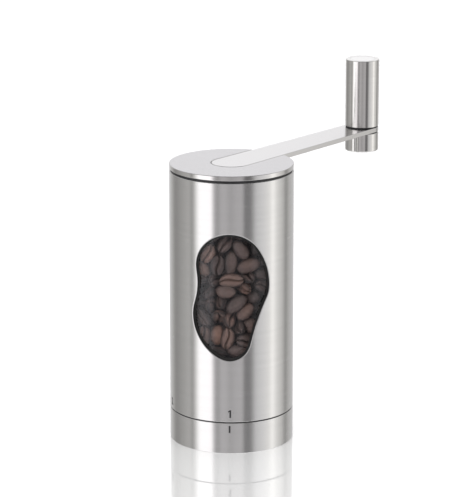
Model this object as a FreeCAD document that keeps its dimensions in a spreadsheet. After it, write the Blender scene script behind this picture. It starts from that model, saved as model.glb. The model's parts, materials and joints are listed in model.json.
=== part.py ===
"""Hand crank coffee grinder: a parametric FreeCAD document, in millimetres.

The origin is the centre of the foot on the main axis, +Z is up, and the window faces -Y.
The sheet "Sizes" holds the driving dimensions. LEVELS holds the heights and radii that are
worked out from them. Every sketch and placement is bound to both.
"""
import FreeCAD, Part
import Sketcher
import math
import os
import re

Vector = FreeCAD.Vector

SIZES = {
    # Steel tube, its seam above the foot, and the edges of all sheet pieces
    "tube_radius": 30.0,
    "tube_wall": 1.0,
    "tube_length": 117.85,
    "seam_gap": 0.4,
    "edge_break": 0.25,
    "fit_gap": 0.05,          # between pieces that are pushed together
    "slide_gap": 0.3,         # between pieces that move past each other
    # Window: centres and radii of the arcs of its outline, seen from the front
    "window_top_x": -0.9,
    "window_top_z": 92.9,
    "window_top_radius": 15.9,
    "window_shoulder_radius": 33.0,
    "window_nose_x": 8.1,
    "window_nose_z": 81.4,
    "window_nose_radius": 9.8,
    "window_flank_radius": 110.0,
    "window_foot_x": -0.8,
    "window_foot_z": 56.7,
    "window_foot_radius": 10.3,
    "window_belly_z": 68.4,
    "window_belly_radius": 23.4,
    "window_waist_radius": 32.0,
    "gasket_shows": 1.2,
    "gasket_behind": 1.6,
    # Hopper
    "liner_wall": 2.0,
    "liner_top_gap": 6.8,     # from the liner's top to the tube's top
    "liner_gasket_height": 0.8,
    # Adjuster at the foot
    "ring_height": 15.3,
    "ring_wall": 1.2,
    "socket_radius": 23.6,
    "socket_depth": 9.0,
    "shelf_thickness": 1.5,
    "outlet_radius": 19.5,
    "collar_wall": 2.7,
    "collar_height": 8.7,
    "o_ring_thickness": 1.8,
    "o_ring_height": 2.8,     # its centre above the ring
    "clip_ring_height": 5.9,
    "clip_ring_thickness": 1.0,
    "clip_ring_width": 2.0,
    "clip_ring_opening": 60.0,
    "clip_ring_seat": 1.0,    # depth of its groove in the nut
    "clip_ring_room": 1.3,    # depth of the housing's recess round it
    # Burr carrier and burrs
    "carrier_lift": 1.2,      # carrier above the shelf at the finest setting
    "carrier_lip": 2.0,
    "burr_radius": 19.3,
    "burr_height": 17.5,
    "burr_mouth_wall": 4.3,
    "burr_throat_wall": 3.7,
    "burr_exit_wall": 2.3,
    "burr_throat_height": 8.5,
    "burr_tooth_depth": 1.1,
    "carrier_wall": 3.85,
    "clamp_thickness": 2.0,
    "clamp_grip": 0.8,        # how far the clamp ring reaches over the burr
    "lug_width": 6.0,
    "lug_height": 7.0,
    "lug_reach": 2.6,
    "mouth_tooth_width": 2.2,
    "fine_tooth_width": 1.3,
    "cone_tooth_width": 4.5,
    "cone_top_radius": 6.5,
    "grind_gap": 0.6,         # between the burrs at the finest setting
    "cone_height": 23.0,
    "cone_throat_height": 7.5,
    # Mill housing
    "funnel_neck_wall": 1.6,
    "spring_height": 3.0,
    "spring_wire": 1.0,
    "floor_thickness": 3.0,
    "bridge_seat_width": 3.9,
    "liner_seat_height": 28.4,   # above the seam
    "housing_top_height": 29.9,  # above the seam
    "funnel_rim": 1.0,
    # Shaft and the bridges that hold it
    "shaft_radius": 3.5,
    "hex_flats": 6.0,
    "bush_gap": 0.05,
    "bush_wall": 1.5,
    "hub_wall": 1.5,
    "spoke_width": 4.0,
    "lower_rim_width": 3.0,
    "lower_rim_height": 2.5,
    "upper_rim_width": 2.8,
    "upper_rim_height": 2.0,
    "collar_lip_height": 3.5,
    "upper_bore_radius": 24.45,
    "bridge_drop": 7.8,       # from the tube's top to the upper bridge's seat
    "washer_thickness": 0.8,
    "shaft_above_bridge": 7.4,
    "hub_reach": 3.0,         # hub of the upper bridge below its seat
    "lower_hub_reach": 2.0,   # hub of the lower bridge above its rim
    "clip_thickness": 0.65,
    "clip_depth": 0.6,        # depth of a clip's groove
    "clip_margin": 1.8,       # how far a clip stands out of its shaft
    "burr_washer_radius": 7.0,
    "burr_screw_radius": 1.95,
    "burr_screw_head": 3.5,
    "burr_screw_head_height": 2.4,
    "burr_screw_bite": 8.0,
    # Small countersunk screws of the bridges and the clamp ring
    "small_screw": 0.75,
    "small_screw_head": 1.3,
    "small_screw_head_height": 0.8,
    "small_screw_bite": 2.0,
    "clamp_screw_bite": 4.5,
    "countersink_depth": 0.9,
    # Screws of the lid and the arm
    "lid_screw": 1.25,
    "lid_screw_head": 2.2,
    "lid_screw_head_height": 1.0,
    "lid_screw_bite": 1.5,
    "lid_skin": 0.6,          # steel left above a blind hole
    # Lid
    "lid_thickness": 2.3,
    "flange_thickness": 1.05,
    "flange_inset": 0.6,
    "lid_seat_gap": 0.05,
    "spigot_depth": 4.4,
    "spigot_wall": 2.0,
    "lid_web": 2.3,
    "lid_o_ring_thickness": 1.2,
    "socket_outer_radius": 6.0,
    "socket_hub_wall": 2.5,
    "lid_screw_circle": 19.0,
    # Crank
    "crank_radius": 105.4,
    "arm_angle": 51.2,
    "arm_hub_radius": 9.7,
    "arm_groove": 0.25,
    "arm_screw_inner": 11.5,
    "arm_screw_outer": 19.0,
    # Knob
    "knob_radius": 8.45,
    "knob_length": 34.1,
    "knob_wall": 2.2,
    "knob_cap_thickness": 2.0,
    "knob_flange": 0.5,
    "knob_foot_height": 9.3,
    "foot_washer_thickness": 0.5,
    "foot_round": 0.6,
    "spindle_radius": 3.0,
    "spindle_thread_radius": 2.5,
    "spindle_length": 29.0,
    "knob_bush_length": 6.0,
    "bush_flange_inset": 0.3,
    "washer_inset": 0.45,
    "foot_floor": 2.0,        # closed bottom of the foot below its threaded hole
}

LEVELS = {
    # Radii of the stack inside the tube
    "tube_bore": "tube_radius - tube_wall",
    "core_radius": "tube_bore - fit_gap",
    "liner_radius": "tube_bore - 8 * fit_gap",
    "liner_bore": "liner_radius - liner_wall",
    "ring_bore": "tube_radius - ring_wall",
    "carrier_bore": "burr_radius + fit_gap",
    "carrier_radius": "carrier_bore + carrier_wall",
    "thread_radius": "carrier_radius + slide_gap",
    "collar_radius": "thread_radius + collar_wall",
    "skirt_bore": "collar_radius + slide_gap",
    "lug_radius": "carrier_radius + lug_reach",
    "guide_bore": "carrier_radius + slide_gap + 2 * fit_gap",
    "guide_slot_radius": "lug_radius + slide_gap",
    "burr_mouth_radius": "burr_radius - burr_mouth_wall",
    "burr_throat_radius": "burr_radius - burr_throat_wall",
    "burr_exit_radius": "burr_radius - burr_exit_wall",
    "cone_throat_radius": "burr_throat_radius - grind_gap",
    "cone_exit_radius": "burr_exit_radius - grind_gap",
    "clamp_bore": "burr_radius - clamp_grip",
    "neck_radius": "clamp_bore - slide_gap",
    "funnel_neck_radius": "neck_radius - funnel_neck_wall",
    "bridge_seat_radius": "funnel_neck_radius + bridge_seat_width",
    "bush_bore": "shaft_radius + bush_gap",
    "bush_radius": "bush_bore + bush_wall",
    "hub_radius": "bush_radius + hub_wall",
    "hex_corner": "hex_flats / 2 / cos(30)",
    "clip_seat_radius": "collar_radius - clip_ring_seat",
    "clamp_screw_circle": "(carrier_radius + carrier_bore) / 2",
    "lower_screw_circle": "bridge_seat_radius - fit_gap - lower_rim_width / 2",
    "upper_screw_circle": "upper_bore_radius - fit_gap - upper_rim_width / 2",
    "flange_radius": "tube_radius - flange_inset",
    "spigot_radius": "upper_bore_radius - 5 * fit_gap",
    "spigot_bore": "spigot_radius - spigot_wall",
    "socket_hub_radius": "socket_outer_radius + socket_hub_wall",
    "knob_bore": "knob_radius - knob_wall",
    # Heights, from the foot up
    "collar_top": "ring_height + collar_height",
    "clip_groove": "ring_height + clip_ring_height",
    "shelf_top": "socket_depth + shelf_thickness",
    "tube_bottom": "ring_height + seam_gap",
    "tube_top": "tube_bottom + tube_length",
    "carrier_bottom": "shelf_top + carrier_lift",
    "burr_bottom": "carrier_bottom + carrier_lip",
    "burr_top": "burr_bottom + burr_height",
    "clamp_bottom": "burr_top",
    "carrier_top": "clamp_bottom + clamp_thickness",
    "housing_floor": "carrier_top + spring_height",
    "bridge_seat": "housing_floor + floor_thickness",
    "lower_rim_top": "bridge_seat + lower_rim_height",
    "liner_seat": "tube_bottom + liner_seat_height",
    "housing_top": "tube_bottom + housing_top_height",
    "liner_bottom": "liner_seat + liner_gasket_height",
    "liner_top": "tube_top - liner_top_gap",
    "cone_bottom": "burr_bottom + washer_thickness + 4 * fit_gap",
    "cone_top": "cone_bottom + cone_height",
    "lower_bush_bottom": "cone_top + washer_thickness + 2 * fit_gap",
    "upper_seat": "tube_top - bridge_drop",
    "upper_rim_top": "upper_seat + upper_rim_height",
    "upper_hub_top": "upper_rim_top - 2 * slide_gap - countersink_depth",
    "shaft_clip_bottom": "upper_hub_top + fit_gap",
    "shaft_top": "upper_seat + shaft_above_bridge",
    "socket_bottom": "upper_rim_top + 2 * slide_gap",
    "flange_bottom": "tube_top + lid_seat_gap",
    "lid_bottom": "flange_bottom + flange_thickness",
    "lid_top": "lid_bottom + lid_thickness",
    "web_bottom": "lid_bottom - lid_web",
    "spigot_bottom": "flange_bottom - spigot_depth",
    "lid_groove": "spigot_bottom + lid_o_ring_thickness",
    "lid_screw_seat": "web_bottom - lid_screw_head_height",
    # Heights of the knob, from the arm
    "foot_top": "lid_bottom - foot_washer_thickness",
    "foot_bottom": "foot_top - knob_foot_height",
    "knob_bottom": "lid_top + fit_gap + knob_flange + fit_gap",
    "knob_top": "knob_bottom + knob_length",
    "cap_bottom": "knob_top - knob_cap_thickness",
    "spindle_top": "lid_top + spindle_length",
    "knob_clip_bottom": "spindle_top - clip_margin",
    "upper_knob_bush_top": "knob_clip_bottom - 2 * fit_gap",
}

doc = FreeCAD.newDocument("CoffeeGrinder")
sheet = doc.addObject("Spreadsheet::Sheet", "Sizes")
for row, (alias, size) in enumerate(SIZES.items(), start=1):
    sheet.set(f"A{row}", alias)
    sheet.set(f"B{row}", str(size))
    sheet.setAlias(f"B{row}", alias)
doc.recompute()

nodes = []


# ---------------------------------------------------------------- helpers

def bound(expression):
    """The expression with each size tied to its cell and each level written out."""
    def cell(match):
        word = match.group(0)
        if word in LEVELS:
            return "(" + bound(LEVELS[word]) + ")"
        return "Sizes." + word if word in SIZES else word
    return re.sub(r"[a-z][a-z_0-9]*", cell, str(expression))


def value(expression):
    """The number that an expression has with the sizes of the sheet."""
    return float(sheet.evalExpression(bound(expression)))


def new_body(label, node=True):
    """An empty body. It is written to a file of its own if it is a node."""
    body = doc.addObject("PartDesign::Body", label)
    body.Label = label
    if node:
        nodes.append(body)
    return body


def sketch_on(body, role, height="0"):
    """A sketch on one of the body's own origin planes, moved along its normal."""
    sketch = body.newObject("Sketcher::SketchObject", body.Name + "_sketch")
    plane = next(f for f in body.Origin.OriginFeatures if f.Role == role)
    sketch.AttachmentSupport = [(plane, "")]
    sketch.MapMode = "FlatFace"
    sketch.setExpression("AttachmentOffset.Base.z", bound(height))
    return sketch


def bind(sketch, kind, *where, to):
    """A dimension of the sketch, bound to an expression."""
    index = sketch.addConstraint(Sketcher.Constraint(kind, *where, value(to)))
    sketch.setExpression(f"Constraints[{index}]", bound(to))


def pin_point(sketch, geometry, end, x, y):
    """Ties a point of the sketch to coordinates given as expressions."""
    for kind, text, axis in (("DistanceX", x, -2), ("DistanceY", y, -1)):
        if text == "0":
            sketch.addConstraint(Sketcher.Constraint("PointOnObject", geometry, end, axis))
        else:
            bind(sketch, kind, -1, 1, geometry, end, to=text)


def polygon(sketch, corners):
    """A closed outline of straight lines through corners (x, y)."""
    points = [Vector(value(x), value(y), 0) for x, y in corners]
    count = len(points)
    lines = [Part.LineSegment(points[i], points[(i + 1) % count]) for i in range(count)]
    first = sketch.addGeometry(lines)[0]
    for i in range(count):
        following = first + (i + 1) % count
        sketch.addConstraint(Sketcher.Constraint("Coincident", first + i, 2, following, 1))
        pin_point(sketch, first + i, 1, *corners[i])


def circle(sketch, x, y, radius):
    """A circle with its centre and radius bound."""
    shape = Part.Circle(Vector(value(x), value(y), 0), Vector(0, 0, 1), value(radius))
    index = sketch.addGeometry(shape)
    pin_point(sketch, index, 3, x, y)
    bind(sketch, "Radius", index, to=radius)


def revolve(body, corners, cut=False):
    """Adds, or cuts away, the profile (radius, height) turned about the vertical axis."""
    sketch = sketch_on(body, "XZ_Plane")
    polygon(sketch, corners)
    kind = "PartDesign::Groove" if cut else "PartDesign::Revolution"
    feature = body.newObject(kind, body.Name + "_turned")
    feature.Profile = sketch
    feature.ReferenceAxis = (sketch, ["V_Axis"])
    feature.Angle = 360
    return feature


def turned(label, corners, node=True):
    """A body turned from the profile (radius, height)."""
    body = new_body(label, node)
    revolve(body, corners)
    return body


def extrude(body, draw, bottom, top, cut=False):
    """Adds, or cuts away, the outline that draw makes, between two heights."""
    sketch = sketch_on(body, "XY_Plane", bottom)
    draw(sketch)
    kind = "PartDesign::Pocket" if cut else "PartDesign::Pad"
    feature = body.newObject(kind, body.Name + "_prism")
    feature.Profile = sketch
    feature.setExpression("Length", bound(f"{top} - ({bottom})"))
    if cut:
        feature.Reversed = True
    return feature


def around(body, feature, count):
    """Repeats a feature evenly about the vertical axis."""
    pattern = body.newObject("PartDesign::PolarPattern", body.Name + "_pattern")
    pattern.Originals = [feature]
    pattern.Axis = (feature.Profile[0], ["N_Axis"])
    pattern.Angle = 360
    pattern.Occurrences = count
    body.Tip = pattern
    return pattern


def cut_checked(body, make):
    """Runs a cut and stops if it took nothing away."""
    doc.recompute()
    before = body.Shape.Volume
    make()
    doc.recompute()
    if body.Shape.Volume > before - 1e-3:
        raise RuntimeError(f"{body.Label}: a cut took nothing away")


def drill(body, radius, x, bottom, top, count=1, angle="0"):
    """Round holes at distance x from the axis, count of them, starting at an angle."""
    def make():
        def draw(sketch):
            circle(sketch, f"({x}) * cos({angle})", f"({x}) * sin({angle})", radius)
        hole = extrude(body, draw, bottom, top, cut=True)
        if count > 1:
            around(body, hole, count)
    cut_checked(body, make)


def block(x_low, x_high, half_width):
    """Draws a rectangle along +X, from x_low to x_high."""
    def draw(sketch):
        polygon(sketch, [(x_low, f"-({half_width})"), (x_high, f"-({half_width})"),
                         (x_high, half_width), (x_low, half_width)])
    return draw


def hexagon(corner):
    """Draws a hexagon with the given corner radius about the axis."""
    def draw(sketch):
        polygon(sketch, [(f"({corner}) * cos({60 * i + 30})", f"({corner}) * sin({60 * i + 30})")
                         for i in range(6)])
    return draw


def arc(centre, radius, start, end):
    """An arc of a circle from one point to another, counter-clockwise."""
    angles = [math.atan2(p.y - centre.y, p.x - centre.x) for p in (start, end)]
    if angles[1] < angles[0]:
        angles[1] += 2 * math.pi
    return Part.ArcOfCircle(Part.Circle(centre, Vector(0, 0, 1), radius), *angles)


def screws(label, size, bite, places, top, upward=False):
    """A group of equal countersunk screws, each a solid, in one node.

    places are (radius, angle) pairs, top is the height of the heads' outer faces, and bite is
    the length of the shank. The screws point down, or up if upward is set.
    """
    sign = "" if upward else "-"
    head_end = f"{sign}({size}_head_height)"
    tip = f"{sign}({size}_head_height + {bite})"
    recess = ("0", f"{size}_head_height * 0.7") if upward else (f"-{size}_head_height * 0.7", "0")
    group = []
    for i, place in enumerate(places):
        screw = turned(f"{label}_{i + 1}", [
            ("0", "0"), (f"{size}_head", "0"), (size, head_end), (size, tip), ("0", tip)],
            node=False)
        cut_checked(screw, lambda: extrude(screw, hexagon(f"{size} * 0.75"), *recess, cut=True))
        put(screw, *place, top)
        group.append(screw)
    compound = doc.addObject("Part::Compound", label)
    compound.Label = label
    compound.Links = group
    nodes.append(compound)


def put(body, radius, angle, height="0"):
    """Places a body at a radius, angle and height, and turns it by the angle."""
    body.setExpression("Placement.Base.x", bound(f"({radius}) * cos({angle})"))
    body.setExpression("Placement.Base.y", bound(f"({radius}) * sin({angle})"))
    body.setExpression("Placement.Base.z", bound(height))
    body.setExpression("Placement.Rotation.Angle", bound(angle))


# ------------------------------------------------------- window outline

def window_outline(sketch, grow="0"):
    """The bean-shaped outline: seven tangent arcs, grown outwards by a distance.

    Clockwise from the top: top, shoulder, nose, flank (hollow), foot, belly, waist (hollow).
    """
    names = ("top", "shoulder", "nose", "flank", "foot", "belly", "waist")
    hollow = ("flank", "waist")
    grown = {n: f"window_{n}_radius {'-' if n in hollow else '+'} ({grow})" for n in names}
    radius = {n: value(grown[n]) for n in names}
    centre = {n: Vector(value(f"window_{n}_x"), value(f"window_{n}_z"), 0)
              for n in ("top", "nose", "foot")}

    def meet(a, a_reach, b, b_reach, side):
        """The point at given distances from a and from b, left (1) or right (-1) of a to b."""
        line = b - a
        along = (a_reach ** 2 - b_reach ** 2 + line.Length ** 2) / (2 * line.Length)
        across = math.sqrt(a_reach ** 2 - along ** 2)
        line.normalize()
        return a + line * along + Vector(-line.y, line.x, 0) * side * across

    centre["shoulder"] = meet(centre["top"], radius["shoulder"] - radius["top"],
                              centre["nose"], radius["shoulder"] - radius["nose"], -1)
    centre["flank"] = meet(centre["nose"], radius["flank"] + radius["nose"],
                           centre["foot"], radius["flank"] + radius["foot"], 1)
    rise = value("window_belly_z") - centre["foot"].y
    reach = radius["belly"] - radius["foot"]
    centre["belly"] = centre["foot"] + Vector(math.sqrt(reach ** 2 - rise ** 2), rise, 0)
    centre["waist"] = meet(centre["belly"], radius["belly"] + radius["waist"],
                           centre["top"], radius["top"] + radius["waist"], 1)

    def joint(a, b):
        """The point where the arcs a and b touch."""
        small, large = (a, b) if radius[a] < radius[b] else (b, a)
        way = centre[large] - centre[small]
        if large not in hollow and small not in hollow:
            way = way * -1
        way.normalize()
        return centre[small] + way * radius[small]

    joints = {n: joint(n, names[(i + 1) % 7]) for i, n in enumerate(names)}
    for i, name in enumerate(names):
        start, end = joints[names[i - 1]], joints[name]
        if name not in hollow:
            start, end = end, start
        sketch.addGeometry(arc(centre[name], radius[name], start, end))
    for i, name in enumerate(names):
        following = (i + 1) % 7
        end = 2 if name in hollow else 1
        begin = 1 if names[following] in hollow else 2
        sketch.addConstraint(Sketcher.Constraint("Tangent", i, end, following, begin))
        bind(sketch, "Radius", i, to=grown[name])
        if name in ("top", "nose", "foot"):
            pin_point(sketch, i, 3, f"window_{name}_x", f"window_{name}_z")
    bind(sketch, "DistanceY", -1, 1, 5, 3, to="window_belly_z")


# ------------------------------------------------------------- housing

def make_outer_tube():
    """Steel tube with the bean-shaped window cut through its front."""
    body = turned("outer_tube", [
        ("tube_bore", "tube_bottom"), ("tube_radius - edge_break", "tube_bottom"),
        ("tube_radius", "tube_bottom + edge_break"), ("tube_radius", "tube_top - edge_break"),
        ("tube_radius - edge_break", "tube_top"), ("tube_bore", "tube_top")])

    def make():
        sketch = sketch_on(body, "XZ_Plane")
        window_outline(sketch)
        pocket = body.newObject("PartDesign::Pocket", "window")
        pocket.Profile = sketch
        pocket.Reversed = True
        pocket.setExpression("Length", bound("2 * tube_radius"))
    cut_checked(body, make)


def make_window_gasket():
    """Thin black rim between the tube and the liner, which shows all round the window."""
    shell = turned("gasket_shell", [
        ("liner_radius + fit_gap", "liner_bottom"), ("core_radius", "liner_bottom"),
        ("core_radius", "liner_top"), ("liner_radius + fit_gap", "liner_top")], node=False)
    rim = new_body("gasket_rim", node=False)
    sketch = sketch_on(rim, "XZ_Plane")
    window_outline(sketch, "gasket_behind")
    pad = rim.newObject("PartDesign::Pad", "gasket_outside")
    pad.Profile = sketch
    pad.setExpression("Length", bound("2 * tube_radius"))

    def make():
        inside = sketch_on(rim, "XZ_Plane")
        window_outline(inside, "-gasket_shows")
        pocket = rim.newObject("PartDesign::Pocket", "gasket_inside")
        pocket.Profile = inside
        pocket.Reversed = True
        pocket.setExpression("Length", bound("2 * tube_radius"))
    cut_checked(rim, make)
    gasket = doc.addObject("Part::Common", "window_gasket")
    gasket.Base = shell
    gasket.Tool = rim
    nodes.append(gasket)


def make_hopper():
    """Clear liner that holds the beans, on a flat gasket."""
    turned("hopper_liner", [
        ("liner_bore", "liner_bottom"), ("liner_radius", "liner_bottom"),
        ("liner_radius", "liner_top"), ("liner_bore", "liner_top")])
    turned("liner_gasket", [
        ("liner_bore", "liner_seat"), ("liner_radius", "liner_seat"),
        ("liner_radius", "liner_bottom"), ("liner_bore", "liner_bottom")])


def make_mill_housing():
    """Black core of the mill: skirt for the adjuster, guides for the carrier, funnel."""
    body = turned("mill_housing", [
        ("skirt_bore", "tube_bottom"), ("core_radius", "tube_bottom"),
        ("core_radius", "liner_seat"), ("liner_bore - fit_gap", "liner_seat"),
        ("liner_bore - fit_gap", "housing_top"), ("liner_bore - funnel_rim", "housing_top"),
        ("bridge_seat_radius", "lower_rim_top"), ("bridge_seat_radius", "bridge_seat"),
        ("funnel_neck_radius", "bridge_seat"),
        ("funnel_neck_radius", "carrier_top + slide_gap"),
        ("neck_radius", "carrier_top + slide_gap"), ("neck_radius", "housing_floor"),
        ("guide_bore", "housing_floor"), ("guide_bore", "collar_top + slide_gap * 2"),
        ("collar_radius + clip_ring_room", "collar_top + slide_gap * 2"),
        ("collar_radius + clip_ring_room", "clip_groove - slide_gap / 2"),
        ("skirt_bore", "clip_groove - slide_gap / 2")])
    slot = block("carrier_radius - 1", "guide_slot_radius", "lug_width / 2 + slide_gap")
    cut_checked(body, lambda: around(
        body, extrude(body, slot, "collar_top", "housing_floor", cut=True), 3))
    drill(body, "small_screw + fit_gap", "lower_screw_circle",
          "bridge_seat - small_screw_bite - slide_gap", "bridge_seat", 3, "30")


def spider(label, rim_outer, rim_width, rim_bottom, rim_top, hub_bottom, hub_top, turn):
    """Rim, three spokes and a hub with a bore for a bush."""
    body = turned(label, [
        (f"{rim_outer} - {rim_width}", rim_bottom), (rim_outer, rim_bottom),
        (rim_outer, rim_top), (f"{rim_outer} - {rim_width}", rim_top)])
    spoke = extrude(body, block("bush_radius + 0.6", f"{rim_outer} - {rim_width} / 2",
                                "spoke_width / 2"), rim_bottom, rim_top)
    around(body, spoke, 3)
    revolve(body, [("bush_radius + fit_gap", hub_bottom), ("hub_radius", hub_bottom),
                   ("hub_radius", hub_top), ("bush_radius + fit_gap", hub_top)])
    screw_holes(body, f"({rim_outer} - {rim_width} / 2)", rim_bottom, rim_top)
    body.setExpression("Placement.Rotation.Angle", bound(turn))
    return body


def screw_holes(body, radius, bottom, top):
    """Three clearance holes with a counterbore for the heads of small screws."""
    drill(body, "small_screw + 2 * fit_gap", radius, bottom, top, 3, "60")
    drill(body, "small_screw_head + 2 * fit_gap", radius, f"{top} - countersink_depth", top, 3, "60")


def bush(label, bottom, top):
    """Plain bush for the shaft."""
    turned(label, [("bush_bore", bottom), ("bush_radius", bottom),
                   ("bush_radius", top), ("bush_bore", top)])


def make_bridges():
    """The two three-armed bridges that hold the shaft, their bushes and screws."""
    lower_top = "(lower_rim_top + lower_hub_reach)"
    spider("lower_bridge", "(bridge_seat_radius - fit_gap)", "lower_rim_width", "bridge_seat",
           "lower_rim_top", "lower_bush_bottom", lower_top, "-30")
    bush("lower_bush", "lower_bush_bottom", lower_top)
    upper_low = "(upper_seat - hub_reach)"
    spider("upper_bridge", "(upper_bore_radius - fit_gap)", "upper_rim_width", "upper_seat",
           "upper_rim_top", upper_low, "upper_hub_top", "-30")
    bush("upper_bush", upper_low, "upper_hub_top")
    for level in ("lower", "upper"):
        screws(f"{level}_bridge_screws", "small_screw",
               f"{level}_rim_height - small_screw_head_height + small_screw_bite",
               [(f"{level}_screw_circle", angle) for angle in ("30", "150", "270")],
               f"{level}_rim_top")


def make_top_collar():
    """Ring in the top of the tube that centres the lid and carries the upper bridge."""
    body = turned("top_collar", [
        ("upper_bore_radius - upper_rim_width", "upper_seat - collar_lip_height"),
        ("liner_bore - fit_gap", "upper_seat - collar_lip_height"),
        ("liner_bore - fit_gap", "liner_top"), ("core_radius", "liner_top"),
        ("core_radius", "tube_top - fit_gap"), ("upper_bore_radius", "tube_top - fit_gap"),
        ("upper_bore_radius", "upper_seat"),
        ("upper_bore_radius - upper_rim_width", "upper_seat")])
    drill(body, "small_screw + fit_gap", "upper_screw_circle",
          "upper_seat - small_screw_bite - slide_gap", "upper_seat", 3, "30")


# ------------------------------------------------------------ adjuster

def make_adjuster():
    """The ring at the foot, the threaded nut inside it, its friction ring and clip."""
    turned("adjuster_ring", [
        ("ring_bore", "0"), ("tube_radius - edge_break", "0"), ("tube_radius", "edge_break"),
        ("tube_radius", "ring_height - edge_break"), ("tube_radius - edge_break", "ring_height"),
        ("ring_bore", "ring_height")])
    groove_low = "(ring_height + o_ring_height - o_ring_thickness / 2 - fit_gap)"
    groove_high = "(ring_height + o_ring_height + o_ring_thickness / 2 + fit_gap)"
    groove_radius = "(skirt_bore - fit_gap - o_ring_thickness)"
    turned("adjuster_nut", [
        ("socket_radius", "0"), ("ring_bore - fit_gap", "0"), ("ring_bore - fit_gap", "ring_height"),
        ("collar_radius", "ring_height"), ("collar_radius", groove_low),
        (groove_radius, groove_low), (groove_radius, groove_high), ("collar_radius", groove_high),
        ("collar_radius", "clip_groove"), ("clip_seat_radius", "clip_groove"),
        ("clip_seat_radius", "clip_groove + clip_ring_thickness + fit_gap"),
        ("collar_radius", "clip_groove + clip_ring_thickness + fit_gap"),
        ("collar_radius", "collar_top"), ("thread_radius", "collar_top"),
        ("thread_radius", "shelf_top"), ("outlet_radius", "shelf_top"),
        ("outlet_radius", "socket_depth"), ("socket_radius", "socket_depth")])
    o_ring("adjuster_o_ring", "skirt_bore - fit_gap", "o_ring_thickness",
           "ring_height + o_ring_height")
    clip = turned("retaining_ring", [
        ("clip_seat_radius + fit_gap", "clip_groove"),
        ("clip_seat_radius + fit_gap + clip_ring_width", "clip_groove"),
        ("clip_seat_radius + fit_gap + clip_ring_width", "clip_groove + clip_ring_thickness"),
        ("clip_seat_radius + fit_gap", "clip_groove + clip_ring_thickness")])
    opening = block("thread_radius", "tube_radius", "collar_radius * sin(clip_ring_opening / 4)")
    cut_checked(clip, lambda: extrude(
        clip, opening, "clip_groove", "clip_groove + clip_ring_thickness", cut=True))


def o_ring(label, outer, thickness, height):
    """Round ring of a given outer radius and thickness."""
    ring = doc.addObject("Part::Torus", label)
    ring.Label = label
    ring.setExpression("Radius1", bound(f"({outer}) - ({thickness}) / 2"))
    ring.setExpression("Radius2", bound(f"({thickness}) / 2"))
    ring.setExpression("Placement.Base.z", bound(height))
    nodes.append(ring)


# --------------------------------------------------------- burr carrier

def make_carrier():
    """Threaded carrier that rises with the adjuster, with the outer burr clamped in it."""
    body = turned("burr_carrier", [
        ("burr_exit_radius + 0.6", "carrier_bottom"), ("carrier_radius", "carrier_bottom"),
        ("carrier_radius", "clamp_bottom"), ("carrier_bore", "clamp_bottom"),
        ("carrier_bore", "burr_bottom"), ("burr_exit_radius + 0.6", "burr_bottom")])
    lug = extrude(body, block("carrier_radius - 1", "lug_radius", "lug_width / 2"),
                  "clamp_bottom - lug_height + clamp_thickness", "clamp_bottom")
    around(body, lug, 3)
    drill(body, "small_screw + fit_gap", "clamp_screw_circle",
          "clamp_bottom - clamp_screw_bite - slide_gap", "clamp_bottom", 3, "60")
    clamp = turned("burr_clamp_ring", [
        ("clamp_bore", "clamp_bottom"), ("carrier_radius", "clamp_bottom"),
        ("carrier_radius", "carrier_top"), ("clamp_bore", "carrier_top")])
    screw_holes(clamp, "clamp_screw_circle", "clamp_bottom", "carrier_top")
    screws("burr_clamp_screws", "small_screw",
           "clamp_thickness - small_screw_head_height + clamp_screw_bite",
           [("clamp_screw_circle", angle) for angle in ("60", "180", "300")], "carrier_top")


def teeth(body, inner, outer, half_width, bottom, top, count, angle):
    """Cuts equal grooves between two radii, slanted to the radius by an angle."""
    def draw(sketch):
        lean = f"tan({angle})"
        polygon(sketch, [
            (inner, f"-({half_width}) * 0.15"),
            (outer, f"-({half_width}) + (({outer}) - ({inner})) * {lean}"),
            (outer, f"({half_width}) + (({outer}) - ({inner})) * {lean}"),
            (inner, f"({half_width}) * 0.15")])
    cut_checked(body, lambda: around(body, extrude(body, draw, bottom, top, cut=True), count))


def make_burrs():
    """Ceramic burrs: a coarse-grooved mouth above fine teeth on each."""
    outer = turned("outer_burr", [
        ("burr_exit_radius", "burr_bottom"), ("burr_radius", "burr_bottom"),
        ("burr_radius", "burr_top"), ("burr_mouth_radius", "burr_top"),
        ("burr_throat_radius", "burr_bottom + burr_throat_height")])
    teeth(outer, "burr_throat_radius + burr_tooth_depth * 1.9", "burr_mouth_radius - 3",
          "mouth_tooth_width",
          "burr_bottom + burr_throat_height - 1", "burr_top", 9, "0")
    teeth(outer, "burr_throat_radius + burr_tooth_depth", "burr_throat_radius - 2",
          "fine_tooth_width",
          "burr_bottom", "burr_bottom + burr_throat_height", 32, "0")

    inner = turned("inner_burr", [
        ("0", "cone_bottom"), ("cone_exit_radius", "cone_bottom"),
        ("cone_throat_radius", "cone_bottom + cone_throat_height"),
        ("cone_top_radius", "cone_top"), ("0", "cone_top")])
    teeth(inner, "cone_top_radius + 1.2", "cone_exit_radius + 2", "cone_tooth_width",
          "cone_bottom + cone_throat_height - 1", "cone_top", 6, "20")
    teeth(inner, "cone_throat_radius - burr_tooth_depth", "cone_exit_radius + 1",
          "fine_tooth_width",
          "cone_bottom", "cone_bottom + cone_throat_height", 30, "12")
    hole = hexagon("hex_corner + fit_gap")
    cut_checked(inner, lambda: extrude(inner, hole, "cone_bottom", "cone_top", cut=True))


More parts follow.
